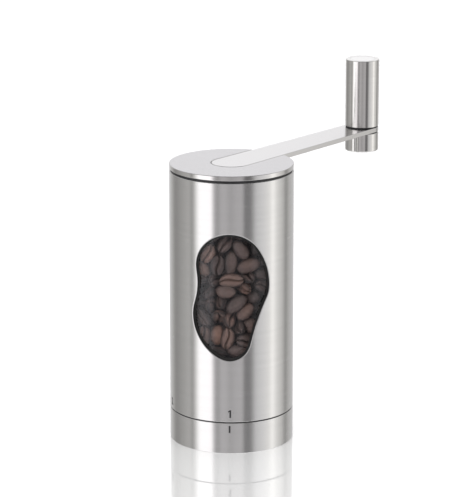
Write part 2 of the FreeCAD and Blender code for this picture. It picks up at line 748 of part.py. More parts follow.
def make_carrier_spring():
    """One-turn spring between the housing and the clamp ring, which takes up the thread's play."""
    helix = doc.addObject("Part::Helix", "spring_helix")
    rise = "spring_height - spring_wire - 2 * fit_gap"
    helix.setExpression("Pitch", bound(rise))
    helix.setExpression("Height", bound(rise))
    helix.setExpression("Radius", bound("carrier_radius - 1.5 * spring_wire"))
    wire = doc.addObject("Part::Circle", "spring_section")
    wire.setExpression("Radius", bound("spring_wire / 2"))
    wire.Placement.Rotation = FreeCAD.Rotation(Vector(1, 0, 0), 90)
    wire.setExpression("Placement.Base.x", bound("carrier_radius - 1.5 * spring_wire"))
    doc.recompute()
    spring = doc.addObject("Part::Sweep", "carrier_spring")
    spring.Sections = [wire]
    spring.Spine = (helix, [f"Edge{i + 1}" for i in range(len(helix.Shape.Edges))])
    spring.Solid = True
    spring.Frenet = True
    spring.setExpression("Placement.Base.z", bound("carrier_top + fit_gap + spring_wire / 2"))
    nodes.append(spring)


# --------------------------------------------------------------- drive

def spring_clip(label, shaft, bottom):
    """Clip that snaps into a groove of a shaft, with its mouth towards +X."""
    clip = turned(label, [
        (f"{shaft} - clip_depth + fit_gap", bottom), (f"{shaft} + clip_margin", bottom),
        (f"{shaft} + clip_margin", f"{bottom} + clip_thickness"),
        (f"{shaft} - clip_depth + fit_gap", f"{bottom} + clip_thickness")])
    mouth = block("1", f"{shaft} + 2 * clip_margin", f"{shaft} - 2 * clip_depth")
    cut_checked(clip, lambda: extrude(clip, mouth, bottom, f"{bottom} + clip_thickness", cut=True))
    return clip


def make_drive():
    """Shaft with hexagonal ends, and what holds the inner burr and the shaft in place."""
    hex_low = "(cone_bottom + 4 * fit_gap)"
    groove_top = "(shaft_clip_bottom + clip_thickness + fit_gap)"
    round_top = f"({groove_top} + 4 * fit_gap)"
    body = turned("drive_shaft", [
        ("0", "cone_top"), ("shaft_radius", "cone_top"), ("shaft_radius", round_top),
        ("0", round_top)])
    extrude(body, hexagon("hex_corner"), hex_low, "cone_top + slide_gap")
    extrude(body, hexagon("hex_corner"), "upper_hub_top", "shaft_top")
    cut_checked(body, lambda: revolve(body, [
        ("shaft_radius - clip_depth", "shaft_clip_bottom"),
        ("shaft_radius + 1", "shaft_clip_bottom"), ("shaft_radius + 1", groove_top),
        ("shaft_radius - clip_depth", groove_top)], cut=True))
    cut_checked(body, lambda: revolve(body, [
        ("0", hex_low), ("burr_screw_radius + fit_gap", hex_low),
        ("burr_screw_radius + fit_gap", "cone_bottom + burr_screw_bite + 1"),
        ("0", "cone_bottom + burr_screw_bite + 1")], cut=True))
    spring_clip("shaft_clip", "shaft_radius", "shaft_clip_bottom")
    turned("thrust_washer", [
        ("bush_bore", "cone_top"), ("bush_radius", "cone_top"),
        ("bush_radius", "cone_top + washer_thickness"), ("bush_bore", "cone_top + washer_thickness")])
    washer_low = "(cone_bottom - washer_thickness)"
    turned("burr_washer", [
        ("burr_screw_radius + 3 * fit_gap", washer_low), ("burr_washer_radius", washer_low),
        ("burr_washer_radius", "cone_bottom"), ("burr_screw_radius + 3 * fit_gap", "cone_bottom")])
    head_low = f"({washer_low} - burr_screw_head_height)"
    screw = turned("burr_screw", [
        ("0", head_low), ("burr_screw_head - edge_break", head_low),
        ("burr_screw_head", f"{head_low} + edge_break"), ("burr_screw_head", washer_low),
        ("burr_screw_radius", washer_low), ("burr_screw_radius", "cone_bottom + burr_screw_bite"),
        ("0", "cone_bottom + burr_screw_bite")])
    cut_checked(screw, lambda: extrude(
        screw, hexagon("burr_screw_head / 2"), head_low, f"{head_low} + burr_screw_head_height / 2",
        cut=True))


# ------------------------------------------------------- lid and crank

def arm_outline(grow="0"):
    """Draws the arm: round ends of two radii joined by tangent lines, along +X."""
    def draw(sketch):
        hub, end = f"arm_hub_radius + ({grow})", f"knob_radius + ({grow})"
        reach = value("crank_radius")
        lean = math.acos((value(hub) - value(end)) / reach)
        way = Vector(math.cos(lean), math.sin(lean), 0)
        down = Vector(way.x, -way.y, 0)
        far = Vector(reach, 0, 0)
        sketch.addGeometry([
            arc(Vector(), value(hub), way * value(hub), down * value(hub)),
            Part.LineSegment(down * value(hub), far + down * value(end)),
            arc(far, value(end), far + down * value(end), far + way * value(end)),
            Part.LineSegment(far + way * value(end), way * value(hub))])
        for i in range(4):
            sketch.addConstraint(Sketcher.Constraint("Tangent", i, 2, (i + 1) % 4, 1))
        pin_point(sketch, 0, 3, "0", "0")
        pin_point(sketch, 2, 3, "crank_radius", "0")
        bind(sketch, "Radius", 0, to=hub)
        bind(sketch, "Radius", 2, to=end)
    return draw


def make_lid():
    """Steel lid with the arm's slot, on the black carrier that centres it in the collar."""
    plate = turned("lid_plate", [
        ("0", "lid_bottom"), ("tube_radius - edge_break", "lid_bottom"),
        ("tube_radius", "lid_bottom + edge_break"), ("tube_radius", "lid_top - edge_break"),
        ("tube_radius - edge_break", "lid_top"), ("0", "lid_top")])
    cut_checked(plate, lambda: extrude(
        plate, arm_outline("arm_groove"), "lid_bottom - 1", "lid_top + 1", cut=True))
    hole = "lid_screw + fit_gap"
    drill(plate, hole, "lid_screw_circle", "lid_bottom", "lid_top - lid_skin", 3, "60")
    put(plate, "0", "arm_angle")

    groove_radius = "(upper_bore_radius - fit_gap - lid_o_ring_thickness)"
    carrier = turned("lid_carrier", [
        ("socket_outer_radius + fit_gap", "spigot_bottom"), ("socket_hub_radius", "spigot_bottom"),
        ("socket_hub_radius", "web_bottom"), ("spigot_bore", "web_bottom"),
        ("spigot_bore", "spigot_bottom"), ("spigot_radius", "spigot_bottom"),
        ("spigot_radius", "lid_groove"), (groove_radius, "lid_groove"),
        (groove_radius, "lid_groove + lid_o_ring_thickness + fit_gap"),
        ("spigot_radius", "lid_groove + lid_o_ring_thickness + fit_gap"),
        ("spigot_radius", "flange_bottom"), ("flange_radius", "flange_bottom"),
        ("flange_radius", "lid_bottom"), ("socket_outer_radius + fit_gap", "lid_bottom")])
    drill(carrier, hole, "lid_screw_circle", "web_bottom", "lid_bottom", 3, "60")
    for place in ("arm_screw_inner", "arm_screw_outer"):
        drill(carrier, hole, place, "web_bottom", "lid_bottom")
    put(carrier, "0", "arm_angle")
    o_ring("lid_o_ring", "upper_bore_radius - fit_gap", "lid_o_ring_thickness",
           "lid_groove + lid_o_ring_thickness / 2")

    socket = turned("drive_socket", [
        ("0", "lid_bottom - slide_gap"), ("0", "socket_bottom"),
        ("socket_outer_radius", "socket_bottom"),
        ("socket_outer_radius", "lid_bottom - slide_gap")])
    cut_checked(socket, lambda: extrude(
        socket, hexagon("hex_corner + 2 * fit_gap"), "socket_bottom", "shaft_top + slide_gap",
        cut=True))
    screws("lid_screws", "lid_screw", "lid_web + lid_screw_bite",
           [("lid_screw_circle", f"arm_angle + {angle}") for angle in ("60", "180", "300")],
           "lid_screw_seat", upward=True)


def make_crank():
    """Flat arm let into the lid, and the screws that hold it from below."""
    arm = new_body("crank_arm")
    extrude(arm, arm_outline(), "lid_bottom", "lid_top")
    drill(arm, "spindle_thread_radius + fit_gap", "crank_radius", "lid_bottom", "lid_top")
    places = ("arm_screw_inner", "arm_screw_outer")
    for place in places:
        drill(arm, "lid_screw + fit_gap", place, "lid_bottom", "lid_top - lid_skin")
    put(arm, "0", "arm_angle")
    screws("arm_screws", "lid_screw", "lid_web + lid_screw_bite",
           [(place, "arm_angle") for place in places], "lid_screw_seat", upward=True)


# ---------------------------------------------------------------- knob

def at_knob(body):
    """Moves a piece made about its own axis to the end of the arm."""
    put(body, "crank_radius", "arm_angle")


def make_knob_mount():
    """Spindle through the arm, the steel foot below it, the washer between and the clip."""
    groove_top = "(knob_clip_bottom + clip_thickness + fit_gap)"
    thread_bottom = "(foot_bottom + foot_floor)"
    at_knob(turned("knob_spindle", [
        ("0", f"{thread_bottom} + slide_gap"), ("spindle_thread_radius", f"{thread_bottom} + slide_gap"),
        ("spindle_thread_radius", "lid_top"), ("spindle_radius", "lid_top"),
        ("spindle_radius", "knob_clip_bottom"), ("spindle_radius - clip_depth", "knob_clip_bottom"),
        ("spindle_radius - clip_depth", groove_top), ("spindle_radius", groove_top),
        ("spindle_radius", "spindle_top - edge_break"), ("spindle_radius - edge_break", "spindle_top"),
        ("0", "spindle_top")]))
    hole = "spindle_thread_radius + fit_gap"
    at_knob(turned("knob_foot", [
        ("0", "foot_bottom"), ("knob_radius - foot_round", "foot_bottom"),
        ("knob_radius - foot_round * 0.3", "foot_bottom + foot_round * 0.3"),
        ("knob_radius", "foot_bottom + foot_round"), ("knob_radius", "foot_top - edge_break / 2"),
        ("knob_radius - edge_break / 2", "foot_top"), (hole, "foot_top"),
        (hole, thread_bottom), ("0", thread_bottom)]))
    at_knob(turned("foot_washer", [
        (hole, "foot_top"), ("knob_radius - washer_inset", "foot_top"),
        ("knob_radius - washer_inset", "lid_bottom"), (hole, "lid_bottom")]))
    at_knob(spring_clip("knob_clip", "spindle_radius", "knob_clip_bottom"))


def make_knob():
    """Turning steel knob on two bushes, closed by a cap."""
    at_knob(turned("knob_sleeve", [
        ("knob_bore", "knob_bottom"), ("knob_radius - edge_break", "knob_bottom"),
        ("knob_radius", "knob_bottom + edge_break"), ("knob_radius", "knob_top - edge_break"),
        ("knob_radius - edge_break", "knob_top"), ("knob_bore", "knob_top")]))
    at_knob(turned("knob_cap", [
        ("0", "cap_bottom"), ("knob_bore - fit_gap", "cap_bottom"),
        ("knob_bore - fit_gap", "knob_top"), ("0", "knob_top")]))
    bore = "spindle_radius + bush_gap"
    at_knob(turned("lower_knob_bush", [
        (bore, "lid_top + fit_gap"), ("knob_radius - bush_flange_inset", "lid_top + fit_gap"),
        ("knob_radius - bush_flange_inset", "knob_bottom - fit_gap"),
        ("knob_bore - fit_gap", "knob_bottom - fit_gap"),
        ("knob_bore - fit_gap", "knob_bottom + knob_bush_length"),
        (bore, "knob_bottom + knob_bush_length")]))
    at_knob(turned("upper_knob_bush", [
        (bore, "upper_knob_bush_top - knob_bush_length"),
        ("knob_bore - fit_gap", "upper_knob_bush_top - knob_bush_length"),
        ("knob_bore - fit_gap", "upper_knob_bush_top"), (bore, "upper_knob_bush_top")]))


# --------------------------------------------------------------- build

def check_and_write():
    """Stops on any failed object or bad shape, then writes each node to its file."""
    doc.recompute()
    for item in doc.Objects:
        if "Invalid" in item.State or "Error" in item.State:
            raise RuntimeError(f"{item.Label} failed: {item.State}")
    for node in nodes:
        shape = node.Shape
        if shape.isNull() or not shape.isValid() or not shape.Solids:
            raise RuntimeError(f"{node.Label}: no valid solid")
    os.makedirs("parts", exist_ok=True)
    for node in nodes:
        node.Shape.exportStep(f"parts/{node.Label}.step")
        print(f"{node.Label}: {len(node.Shape.Solids)} solid(s), {node.Shape.Volume:.1f} mm3")


make_outer_tube()
make_window_gasket()
make_hopper()
make_mill_housing()
make_bridges()
make_top_collar()
make_adjuster()
make_carrier()
make_burrs()
make_carrier_spring()
make_drive()
make_lid()
make_crank()
make_knob_mount()
make_knob()
check_and_write()
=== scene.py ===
"""Hand crank coffee grinder: the looks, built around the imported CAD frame.

Metres, +Z up, window towards -Y. Sizes come from the frame's own nodes, so a piece follows its
CAD node. Pieces that show are rebuilt here with rounded edges. The rest keep their CAD shape.
"""
import json
import math

import bmesh
import bpy
import numpy as np
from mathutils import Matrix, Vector


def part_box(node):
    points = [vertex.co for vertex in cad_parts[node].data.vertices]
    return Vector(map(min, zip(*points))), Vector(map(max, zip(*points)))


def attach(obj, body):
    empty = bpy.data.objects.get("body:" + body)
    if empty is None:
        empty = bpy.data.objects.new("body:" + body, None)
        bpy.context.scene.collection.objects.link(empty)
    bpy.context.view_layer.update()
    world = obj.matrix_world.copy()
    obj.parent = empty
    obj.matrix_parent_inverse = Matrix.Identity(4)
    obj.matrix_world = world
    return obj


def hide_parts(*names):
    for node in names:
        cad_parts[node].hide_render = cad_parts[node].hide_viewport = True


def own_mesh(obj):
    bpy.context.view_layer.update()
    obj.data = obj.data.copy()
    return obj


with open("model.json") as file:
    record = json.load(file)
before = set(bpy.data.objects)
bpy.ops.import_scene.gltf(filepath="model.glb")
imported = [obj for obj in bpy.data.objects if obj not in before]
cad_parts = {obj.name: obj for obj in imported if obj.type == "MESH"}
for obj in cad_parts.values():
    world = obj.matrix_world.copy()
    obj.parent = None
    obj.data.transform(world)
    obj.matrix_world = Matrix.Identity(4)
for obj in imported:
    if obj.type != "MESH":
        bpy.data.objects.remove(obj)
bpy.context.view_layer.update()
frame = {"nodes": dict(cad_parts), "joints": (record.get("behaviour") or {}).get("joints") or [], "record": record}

MM = 0.001
FRONT = -math.pi / 2                # direction of the window, about the vertical axis
TUBE_SEGMENTS = 192
SEED = 11


# ---------------------------------------------------------------- sizes from the frame

def radii(node, centre=(0.0, 0.0)):
    """Smallest and largest distance of a node's points from a vertical axis."""
    points = np.array([v.co for v in frame["nodes"][node].data.vertices])
    reach = np.hypot(points[:, 0] - centre[0], points[:, 1] - centre[1])
    return float(reach.min()), float(reach.max())


def levels(node):
    """Lowest and highest z of a node."""
    low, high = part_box(node)
    return low.z, high.z


KNOB_AXIS = next(tuple(j["pos_m"][:2]) for j in frame["joints"] if j["name"] == "knob_spin")
CRANK_RADIUS = math.hypot(*KNOB_AXIS)
ARM_ANGLE = math.atan2(KNOB_AXIS[1], KNOB_AXIS[0])
TUBE_BORE, TUBE_RADIUS = radii("outer_tube")
TUBE_BOTTOM, TUBE_TOP = levels("outer_tube")
LINER_BORE, LINER_RADIUS = radii("hopper_liner")
KNOB_BORE, KNOB_RADIUS = radii("knob_sleeve", KNOB_AXIS)
SHAFT_RADIUS = radii("drive_shaft")[1]
PRINT = 0.01 * MM                   # the steel stands back by this much under printed marks


# ---------------------------------------------------------------- mesh helpers

def outward(mesh):
    """Turns the faces of a closed mesh outwards."""
    work = bmesh.new()
    work.from_mesh(mesh)
    bmesh.ops.recalc_face_normals(work, faces=work.faces)
    work.to_mesh(mesh)
    work.free()


def piece(name, points, faces, body, material, normals=None, nodes=()):
    """A mesh piece on a body, with one exact normal per point where they are given."""
    mesh = bpy.data.meshes.new(name)
    mesh.from_pydata([tuple(p) for p in points], [], [tuple(f) for f in faces])
    mesh.validate()
    outward(mesh)
    mesh.shade_smooth()
    if normals is not None:
        mesh.normals_split_custom_set_from_vertices([tuple(n) for n in normals])
    obj = bpy.data.objects.new(name, mesh)
    bpy.context.scene.collection.objects.link(obj)
    obj.data.materials.append(material)
    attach(obj, body)
    if nodes:
        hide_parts(*nodes)
    return obj


def bridge(rows, closed=True):
    """Quads between successive rows of point numbers."""
    faces = []
    for a, b in zip(rows, rows[1:]):
        count = len(a)
        for i in range(count if closed else count - 1):
            k = (i + 1) % count
            faces.append((a[i], a[k], b[k], b[i]))
    return faces


def rounded(corners, bends, steps=5, sharpest=0.3):
    """A closed outline with its sharp corners turned into arcs: rows of x, y, normal x, normal y.

    The outline runs counter-clockwise, so the normals point outwards. Corners that turn by
    less than sharpest radians stay, as on an arc that is already made of short lines.
    """
    points = np.array(corners, float)
    sizes = np.broadcast_to(bends, len(points))
    rows = []
    for i, here in enumerate(points):
        before = here - points[i - 1]
        after = points[(i + 1) % len(points)] - here
        reach = min(np.linalg.norm(before), np.linalg.norm(after)) * 0.49
        before, after = before / np.linalg.norm(before), after / np.linalg.norm(after)
        turn = math.atan2(before[0] * after[1] - before[1] * after[0], before @ after)
        first = np.array([before[1], -before[0]])
        last = np.array([after[1], -after[0]])
        if abs(turn) < sharpest:
            middle = (first + last) / np.linalg.norm(first + last)
            rows.append((*here, *middle))
            continue
        bend = min(sizes[i], reach / math.tan(abs(turn) / 2))
        start = here - before * bend * math.tan(abs(turn) / 2)
        centre = start - first * bend * math.copysign(1, turn)
        for step in range(steps + 1):
            angle = turn * step / steps
            c, s = math.cos(angle), math.sin(angle)
            normal = np.array([first[0] * c - first[1] * s, first[0] * s + first[1] * c])
            rows.append((*(centre + normal * bend * math.copysign(1, turn)), *normal))
    return np.array(rows)


def lathe(name, corners, body, material, edge=0.25 * MM, centre=(0.0, 0.0), nodes=(),
          segments=TUBE_SEGMENTS):
    """Turns a closed profile (radius, z), counter-clockwise, about a vertical axis.

    Points on the axis are the first and last of the profile, and stay single.
    """
    profile = rounded(corners, edge)
    solid = min(r for r, _ in corners) < 1e-9
    if solid:
        profile = profile[profile[:, 0] > 1e-6]
    angles = np.arange(segments) * 2 * math.pi / segments
    points, normals, rows = [], [], []
    for r, z, nr, nz in profile:
        rows.append(list(range(len(points), len(points) + segments)))
        for a in angles:
            points.append((centre[0] + r * math.cos(a), centre[1] + r * math.sin(a), z))
            normals.append((nr * math.cos(a), nr * math.sin(a), nz))
    faces = bridge(rows if solid else rows + [rows[0]])
    if solid:
        for row, z, way in ((rows[0], corners[0][1], -1), (rows[-1], corners[-1][1], 1)):
            hub = len(points)
            points.append((*centre, z))
            normals.append((0, 0, way))
            for i, k in enumerate(row):
                ends = (row[(i + 1) % segments], k) if way < 0 else (k, row[(i + 1) % segments])
                faces.append((*ends, hub))
    return piece(name, points, faces, body, material, normals, nodes)


def flat_faces(row, open_ring):
    """Faces that fill an outline: one for a convex outline, a strip across for an open ring."""
    if not open_ring:
        return [tuple(row)]
    last = len(row) - 1
    return [(row[i], row[i + 1], row[last - 1 - i], row[last - i]) for i in range(last // 2)]


def slab(name, outline, low, high, edge, body, material, side, nodes=(), open_ring=False):
    """A flat plate of an outline (rows of x, y and normal) with rounded upper and lower edges.

    Its upright sides have a material of their own. An open ring's outline runs along its
    outside first, and back along its inside.
    """
    steps = 4
    turns = [math.pi / 2 * k / steps for k in range(steps + 1)]
    rings = [(edge * (1 - math.sin(t)), low + edge * (1 - math.cos(t)), math.sin(t), -math.cos(t))
             for t in turns]
    rings += [(edge * (1 - math.sin(t)), high - edge * (1 - math.cos(t)), math.sin(t), math.cos(t))
              for t in reversed(turns)]
    points, normals, rows = [], [], []
    for inset, z, flat, up in rings:
        rows.append(list(range(len(points), len(points) + len(outline))))
        for x, y, nx, ny in outline:
            points.append((x - nx * inset, y - ny * inset, z))
            normals.append((nx * flat, ny * flat, up))
    faces = bridge(rows) + flat_faces(rows[0], open_ring) + flat_faces(rows[-1], open_ring)
    made = piece(name, points, faces, body, material, normals, nodes)
    made.data.materials.append(side)
    for face in made.data.polygons:
        face.material_index = int(abs(face.normal.z) < 0.9)
    return made


def arc_points(centre, radius, start, end, count):
    """Points on an arc, both ends included."""
    angles = np.linspace(start, end, count)
    return [(centre[0] + radius * math.cos(a), centre[1] + radius * math.sin(a)) for a in angles]


# ---------------------------------------------------------------- shader helpers

def node(tree, kind, inputs=None, **settings):
    """A shader node with its settings, and its inputs linked or set."""
    made = tree.nodes.new(kind)
    for key, value in settings.items():
        setattr(made, key, value)
    for key, value in (inputs or {}).items():
        if isinstance(value, bpy.types.NodeSocket):
            tree.links.new(value, made.inputs[key])
        else:
            made.inputs[key].default_value = value
    return made


def new_material(name):
    """An empty node material and its tree."""
    made = bpy.data.materials.new(name)
    made.use_nodes = True
    made.node_tree.nodes.clear()
    return made, made.node_tree


def ramp(tree, factor, stops, interpolation="LINEAR"):
    """A colour ramp with the given (position, colour) stops."""
    made = node(tree, "ShaderNodeValToRGB", {"Fac": factor})
    made.color_ramp.interpolation = interpolation
    elements = made.color_ramp.elements
    while len(elements) < len(stops):
        elements.new(0.5)
    for element, (position, colour) in zip(elements, stops):
        element.position = position
        element.color = (*colour, 1)
    return made.outputs["Color"]


def streaks(tree, scale, detail=3.0):
    """Noise stretched by a scale for each of the piece's own axes."""
    place = node(tree, "ShaderNodeTexCoord").outputs["Object"]
    stretched = node(tree, "ShaderNodeMapping", {"Vector": place, "Scale": scale})
    noise = node(tree, "ShaderNodeTexNoise", {
        "Vector": stretched.outputs["Vector"], "Scale": 1.0, "Detail": detail, "Roughness": 0.6})
    return noise.outputs["Fac"]


def spread(tree, value, low, high):
    """Maps a noise value to a range."""
    return node(tree, "ShaderNodeMapRange", {
        "Value": value, "From Min": 0.25, "From Max": 0.75, "To Min": low, "To Max": high,
    }).outputs["Result"]


def bumped(tree, height, distance, strength=1.0):
    """Bump from a height, its depth in metres."""
    return node(tree, "ShaderNodeBump", {
        "Height": height, "Distance": distance, "Strength": strength}).outputs["Normal"]


def finish_material(made, tree, shader):
    """Ends a material with its surface shader."""
    node(tree, "ShaderNodeOutputMaterial", {"Surface": shader})
    return made


# ---------------------------------------------------------------- materials

def brushed_steel(name, colour, roughness, scale, anisotropy=0.0, groove=0.0004 * MM):
    """Steel with fine brush lines. The scale is low along the lines and high across them."""
    made, tree = new_material(name)
    fine = streaks(tree, scale)
    broad = streaks(tree, tuple(s * 0.12 for s in scale), 1.0)
    tone = spread(tree, broad, 0.985, 1.015)
    tint = node(tree, "ShaderNodeMix", {"Factor": spread(tree, fine, 0.0, 1.0)}, data_type="RGBA")
    tint.inputs[6].default_value = (*(c * 0.965 for c in colour), 1)
    tint.inputs[7].default_value = (*(min(1, c * 1.025) for c in colour), 1)
    colour_out = node(tree, "ShaderNodeHueSaturation", {
        "Color": tint.outputs[2], "Value": tone}).outputs["Color"]
    shader = node(tree, "ShaderNodeBsdfPrincipled", {
        "Base Color": colour_out, "Metallic": 1.0,
        "Roughness": spread(tree, fine, roughness - 0.015, roughness + 0.015),
        "Normal": bumped(tree, fine, groove)})
    if anisotropy:
        shader.inputs["Anisotropic"].default_value = anisotropy
        shader.inputs["Anisotropic Rotation"].default_value = 0.25
        tangent = node(tree, "ShaderNodeTangent", direction_type="RADIAL", axis="Z")
        tree.links.new(tangent.outputs["Tangent"], shader.inputs["Tangent"])
    return finish_material(made, tree, shader.outputs["BSDF"])


def moulded(name, dark, light, roughness, grain, depth, **constants):
    """Moulded plastic, rubber or ceramic: a fine grain and a slight change of tone."""
    made, tree = new_material(name)
    fine = streaks(tree, (grain, grain, grain))
    broad = streaks(tree, (grain * 0.05,) * 3, 2.0)
    shader = node(tree, "ShaderNodeBsdfPrincipled", {
        "Base Color": ramp(tree, broad, [(0.3, dark), (0.7, light)]),
        "Roughness": spread(tree, fine, roughness - 0.06, roughness + 0.06),
        "Normal": bumped(tree, fine, depth)})
    for key, value in constants.items():
        shader.inputs[key.replace("_", " ")].default_value = value
    return finish_material(made, tree, shader.outputs["BSDF"])


def clear_acrylic():
    """Clear wall: a mirror at grazing angles, and see-through with a faint grey tint."""
    made, tree = new_material("clear_acrylic")
    haze = spread(tree, streaks(tree, (900, 900, 900), 2.0), 0.1, 0.16)
    gloss = node(tree, "ShaderNodeBsdfGlossy", {"Color": (0.96, 0.96, 1, 1), "Roughness": haze})
    clear = node(tree, "ShaderNodeBsdfTransparent", {"Color": (0.88, 0.89, 0.9, 1)})
    bend = node(tree, "ShaderNodeFresnel", {"IOR": 1.49})
    far_side = node(tree, "ShaderNodeNewGeometry").outputs["Backfacing"]
    near = node(tree, "ShaderNodeMath", {0: 1.0, 1: far_side}, operation="SUBTRACT")
    share = node(tree, "ShaderNodeMath", {0: near.outputs[0], 1: bend.outputs["Fac"]},
                 operation="MULTIPLY")
    mixed = node(tree, "ShaderNodeMixShader", {
        "Fac": share.outputs[0], 1: clear.outputs["BSDF"], 2: gloss.outputs["BSDF"]})
    return finish_material(made, tree, mixed.outputs["Shader"])


def roasted_bean():
    """Dark roast: each bean has its own tone, with pale chaff in the crease and an oily sheen."""
    made, tree = new_material("roasted_bean")
    # The tone attribute is each bean's own tone, darkened as painted shade for the beans behind the front ones.
    tone = node(tree, "ShaderNodeAttribute", attribute_name="tone").outputs["Fac"]
    chaff = node(tree, "ShaderNodeAttribute", attribute_name="chaff").outputs["Fac"]
    body = ramp(tree, tone, [(0.0, (0.048, 0.032, 0.028)), (0.5, (0.085, 0.055, 0.047)),
                             (1.0, (0.15, 0.08, 0.057))])
    # Painted light: each bean's top brightened up to 1.75 times as a painted highlight, its rim and crease
    # darkened down to 0.22 times as painted shade.
    painted_shading = node(tree, "ShaderNodeAttribute", attribute_name="painted_shading").outputs["Fac"]
    lit = node(tree, "ShaderNodeMapRange", {"Value": painted_shading, "To Min": 0.22, "To Max": 1.75})
    mottle = streaks(tree, (700, 700, 700), 4.0)
    value = node(tree, "ShaderNodeMath", {
        0: lit.outputs["Result"], 1: spread(tree, mottle, 0.7, 1.3)}, operation="MULTIPLY")
    shade = node(tree, "ShaderNodeHueSaturation", {
        "Color": body, "Value": value.outputs[0]}).outputs["Color"]
    mixed = node(tree, "ShaderNodeMix", {"Factor": chaff}, data_type="RGBA")
    tree.links.new(shade, mixed.inputs[6])
    mixed.inputs[7].default_value = (0.2, 0.105, 0.065, 1)
    wrinkles = streaks(tree, (1500, 1500, 1500), 5.0)
    shader = node(tree, "ShaderNodeBsdfPrincipled", {
        "Base Color": mixed.outputs[2], "Roughness": spread(tree, wrinkles, 0.34, 0.56),
        "Normal": bumped(tree, wrinkles, 0.3 * MM, 0.9)})
    shader.inputs["Coat Weight"].default_value = 0.15
    shader.inputs["Coat Roughness"].default_value = 0.2
    return finish_material(made, tree, shader.outputs["BSDF"])


def printed_black():
    """Marks etched dark into the steel."""
    return moulded("mark_black", (0.012, 0.012, 0.013), (0.03, 0.03, 0.032), 0.5, 4000, 0.003 * MM)


def make_materials():
    """Every material of the scene, by name."""
    round_lines = (60, 60, 5200)
    satin = (2500, 7000, 7000)
    return {
        "body_steel": brushed_steel("body_steel", (0.74, 0.735, 0.735), 0.26, round_lines, 0.95),
        "knob_steel": brushed_steel("knob_steel", (0.74, 0.73, 0.72), 0.16, round_lines, 0.9),
        # Lid and arm: darker copies of the steel, their base colours lowered as painted shade for the darker look
        # that roughness and brush direction give their tops.
        "lid_steel": brushed_steel("lid_steel", (0.61, 0.6, 0.617), 0.27, satin, groove=0.0),
        "arm_steel": brushed_steel("arm_steel", (0.665, 0.655, 0.662), 0.2, satin, groove=0.0),
        "edge_steel": brushed_steel("edge_steel", (0.74, 0.73, 0.73), 0.16, satin, groove=0.0),
        # Knob cap: a brighter copy of the steel, a painted highlight on the knob's top face.
        "cap_steel": brushed_steel("cap_steel", (0.86, 0.85, 0.85), 0.22, satin, groove=0.0),
        "inner_steel": brushed_steel("inner_steel", (0.62, 0.62, 0.64), 0.22, (900, 900, 4000)),
        "black_plastic": moulded("black_plastic", (0.012, 0.012, 0.013), (0.02, 0.02, 0.022),
                                 0.45, 5000, 0.006 * MM),
        "black_rubber": moulded("black_rubber", (0.008, 0.008, 0.008), (0.014, 0.014, 0.014),
                                0.62, 3500, 0.01 * MM),
        "bush_plastic": moulded("bush_plastic", (0.66, 0.65, 0.6), (0.74, 0.73, 0.68),
                                0.42, 4000, 0.004 * MM, Subsurface_Weight=0.05),
        "burr_ceramic": moulded("burr_ceramic", (0.76, 0.74, 0.69), (0.86, 0.85, 0.81),
                                0.5, 6000, 0.008 * MM),
        "clear_acrylic": clear_acrylic(),
        "roasted_bean": roasted_bean(),
        "mark_black": printed_black(),
    }


# ---------------------------------------------------------------- steel tube and foot ring

PATCH_COLUMNS, PATCH_LINES = 44, 52     # size of the patch round the window, in quads
PATCH_RINGS = 6                         # rings from the patch's border to the window
PATCH_HALF = math.radians(PATCH_COLUMNS * 180 / TUBE_SEGMENTS)
PATCH_LOW, PATCH_HIGH = TUBE_BOTTOM + 24 * MM, TUBE_TOP - 18 * MM
TUBE_FACE = TUBE_RADIUS - PRINT         # outside of the steel, under the printed marks
TUBE_EDGE = 0.45 * MM


def window_edge():
    """The window's outline on the outside of the CAD tube: points (x, z) in order."""
    mesh = bmesh.new()
    mesh.from_mesh(frame["nodes"]["outer_tube"].data)
    bmesh.ops.remove_doubles(mesh, verts=mesh.verts, dist=2e-6)

    def on_edge(v):
        away = abs(math.hypot(v.co.x, v.co.y) - TUBE_RADIUS)
        return away < 1e-5 and TUBE_BOTTOM + 5 * MM < v.co.z < TUBE_TOP - 5 * MM

    edges = [e for e in mesh.edges if len(e.link_faces) == 2 and e.calc_face_angle(0) > 0.6
             and all(on_edge(v) for v in e.verts)]
    follow = {}
    for e in edges:
        a, b = e.verts
        follow.setdefault(a, []).append(b)
        follow.setdefault(b, []).append(a)
    here = start = max(follow, key=lambda v: v.co.z)
    before, points = None, []
    while here is not start or before is None:
        points.append((here.co.x, here.co.z))
        here, before = next(v for v in follow[here] if v is not before), here
    mesh.free()
    return np.array(points)


def even_outline(points, count):
    """The outline as count evenly spaced points, clockwise seen from -Y, with outward normals."""
    area = np.sum(points[:, 0] * np.roll(points[:, 1], -1) - np.roll(points[:, 0], -1) * points[:, 1])
    if area > 0:
        points = points[::-1]
    loop = np.vstack([points, points[:1]])
    run = np.concatenate([[0], np.cumsum(np.hypot(*np.diff(loop, axis=0).T))])
    at = np.arange(count) * run[-1] / count
    even = np.stack([np.interp(at, run, loop[:, k]) for k in (0, 1)], 1)
    for _ in range(3):                  # takes the corners off the short lines
        even = (np.roll(even, 1, 0) + 2 * even + np.roll(even, -1, 0)) / 4
    along = np.roll(even, -1, 0) - np.roll(even, 1, 0)
    normals = np.stack([-along[:, 1], along[:, 0]], 1)
    return even, normals / np.linalg.norm(normals, axis=1)[:, None]


def patch_border():
    """Border of the patch round the window: rows of angle and z, from its top left corner."""
    angles = np.linspace(-PATCH_HALF, PATCH_HALF, PATCH_COLUMNS + 1)
    heights = np.linspace(PATCH_LOW, PATCH_HIGH, PATCH_LINES + 1)
    return np.array([(a, PATCH_HIGH) for a in angles[:-1]]
                    + [(PATCH_HALF, z) for z in heights[::-1][:-1]]
                    + [(a, PATCH_LOW) for a in angles[::-1][:-1]]
                    + [(-PATCH_HALF, z) for z in heights[:-1]])


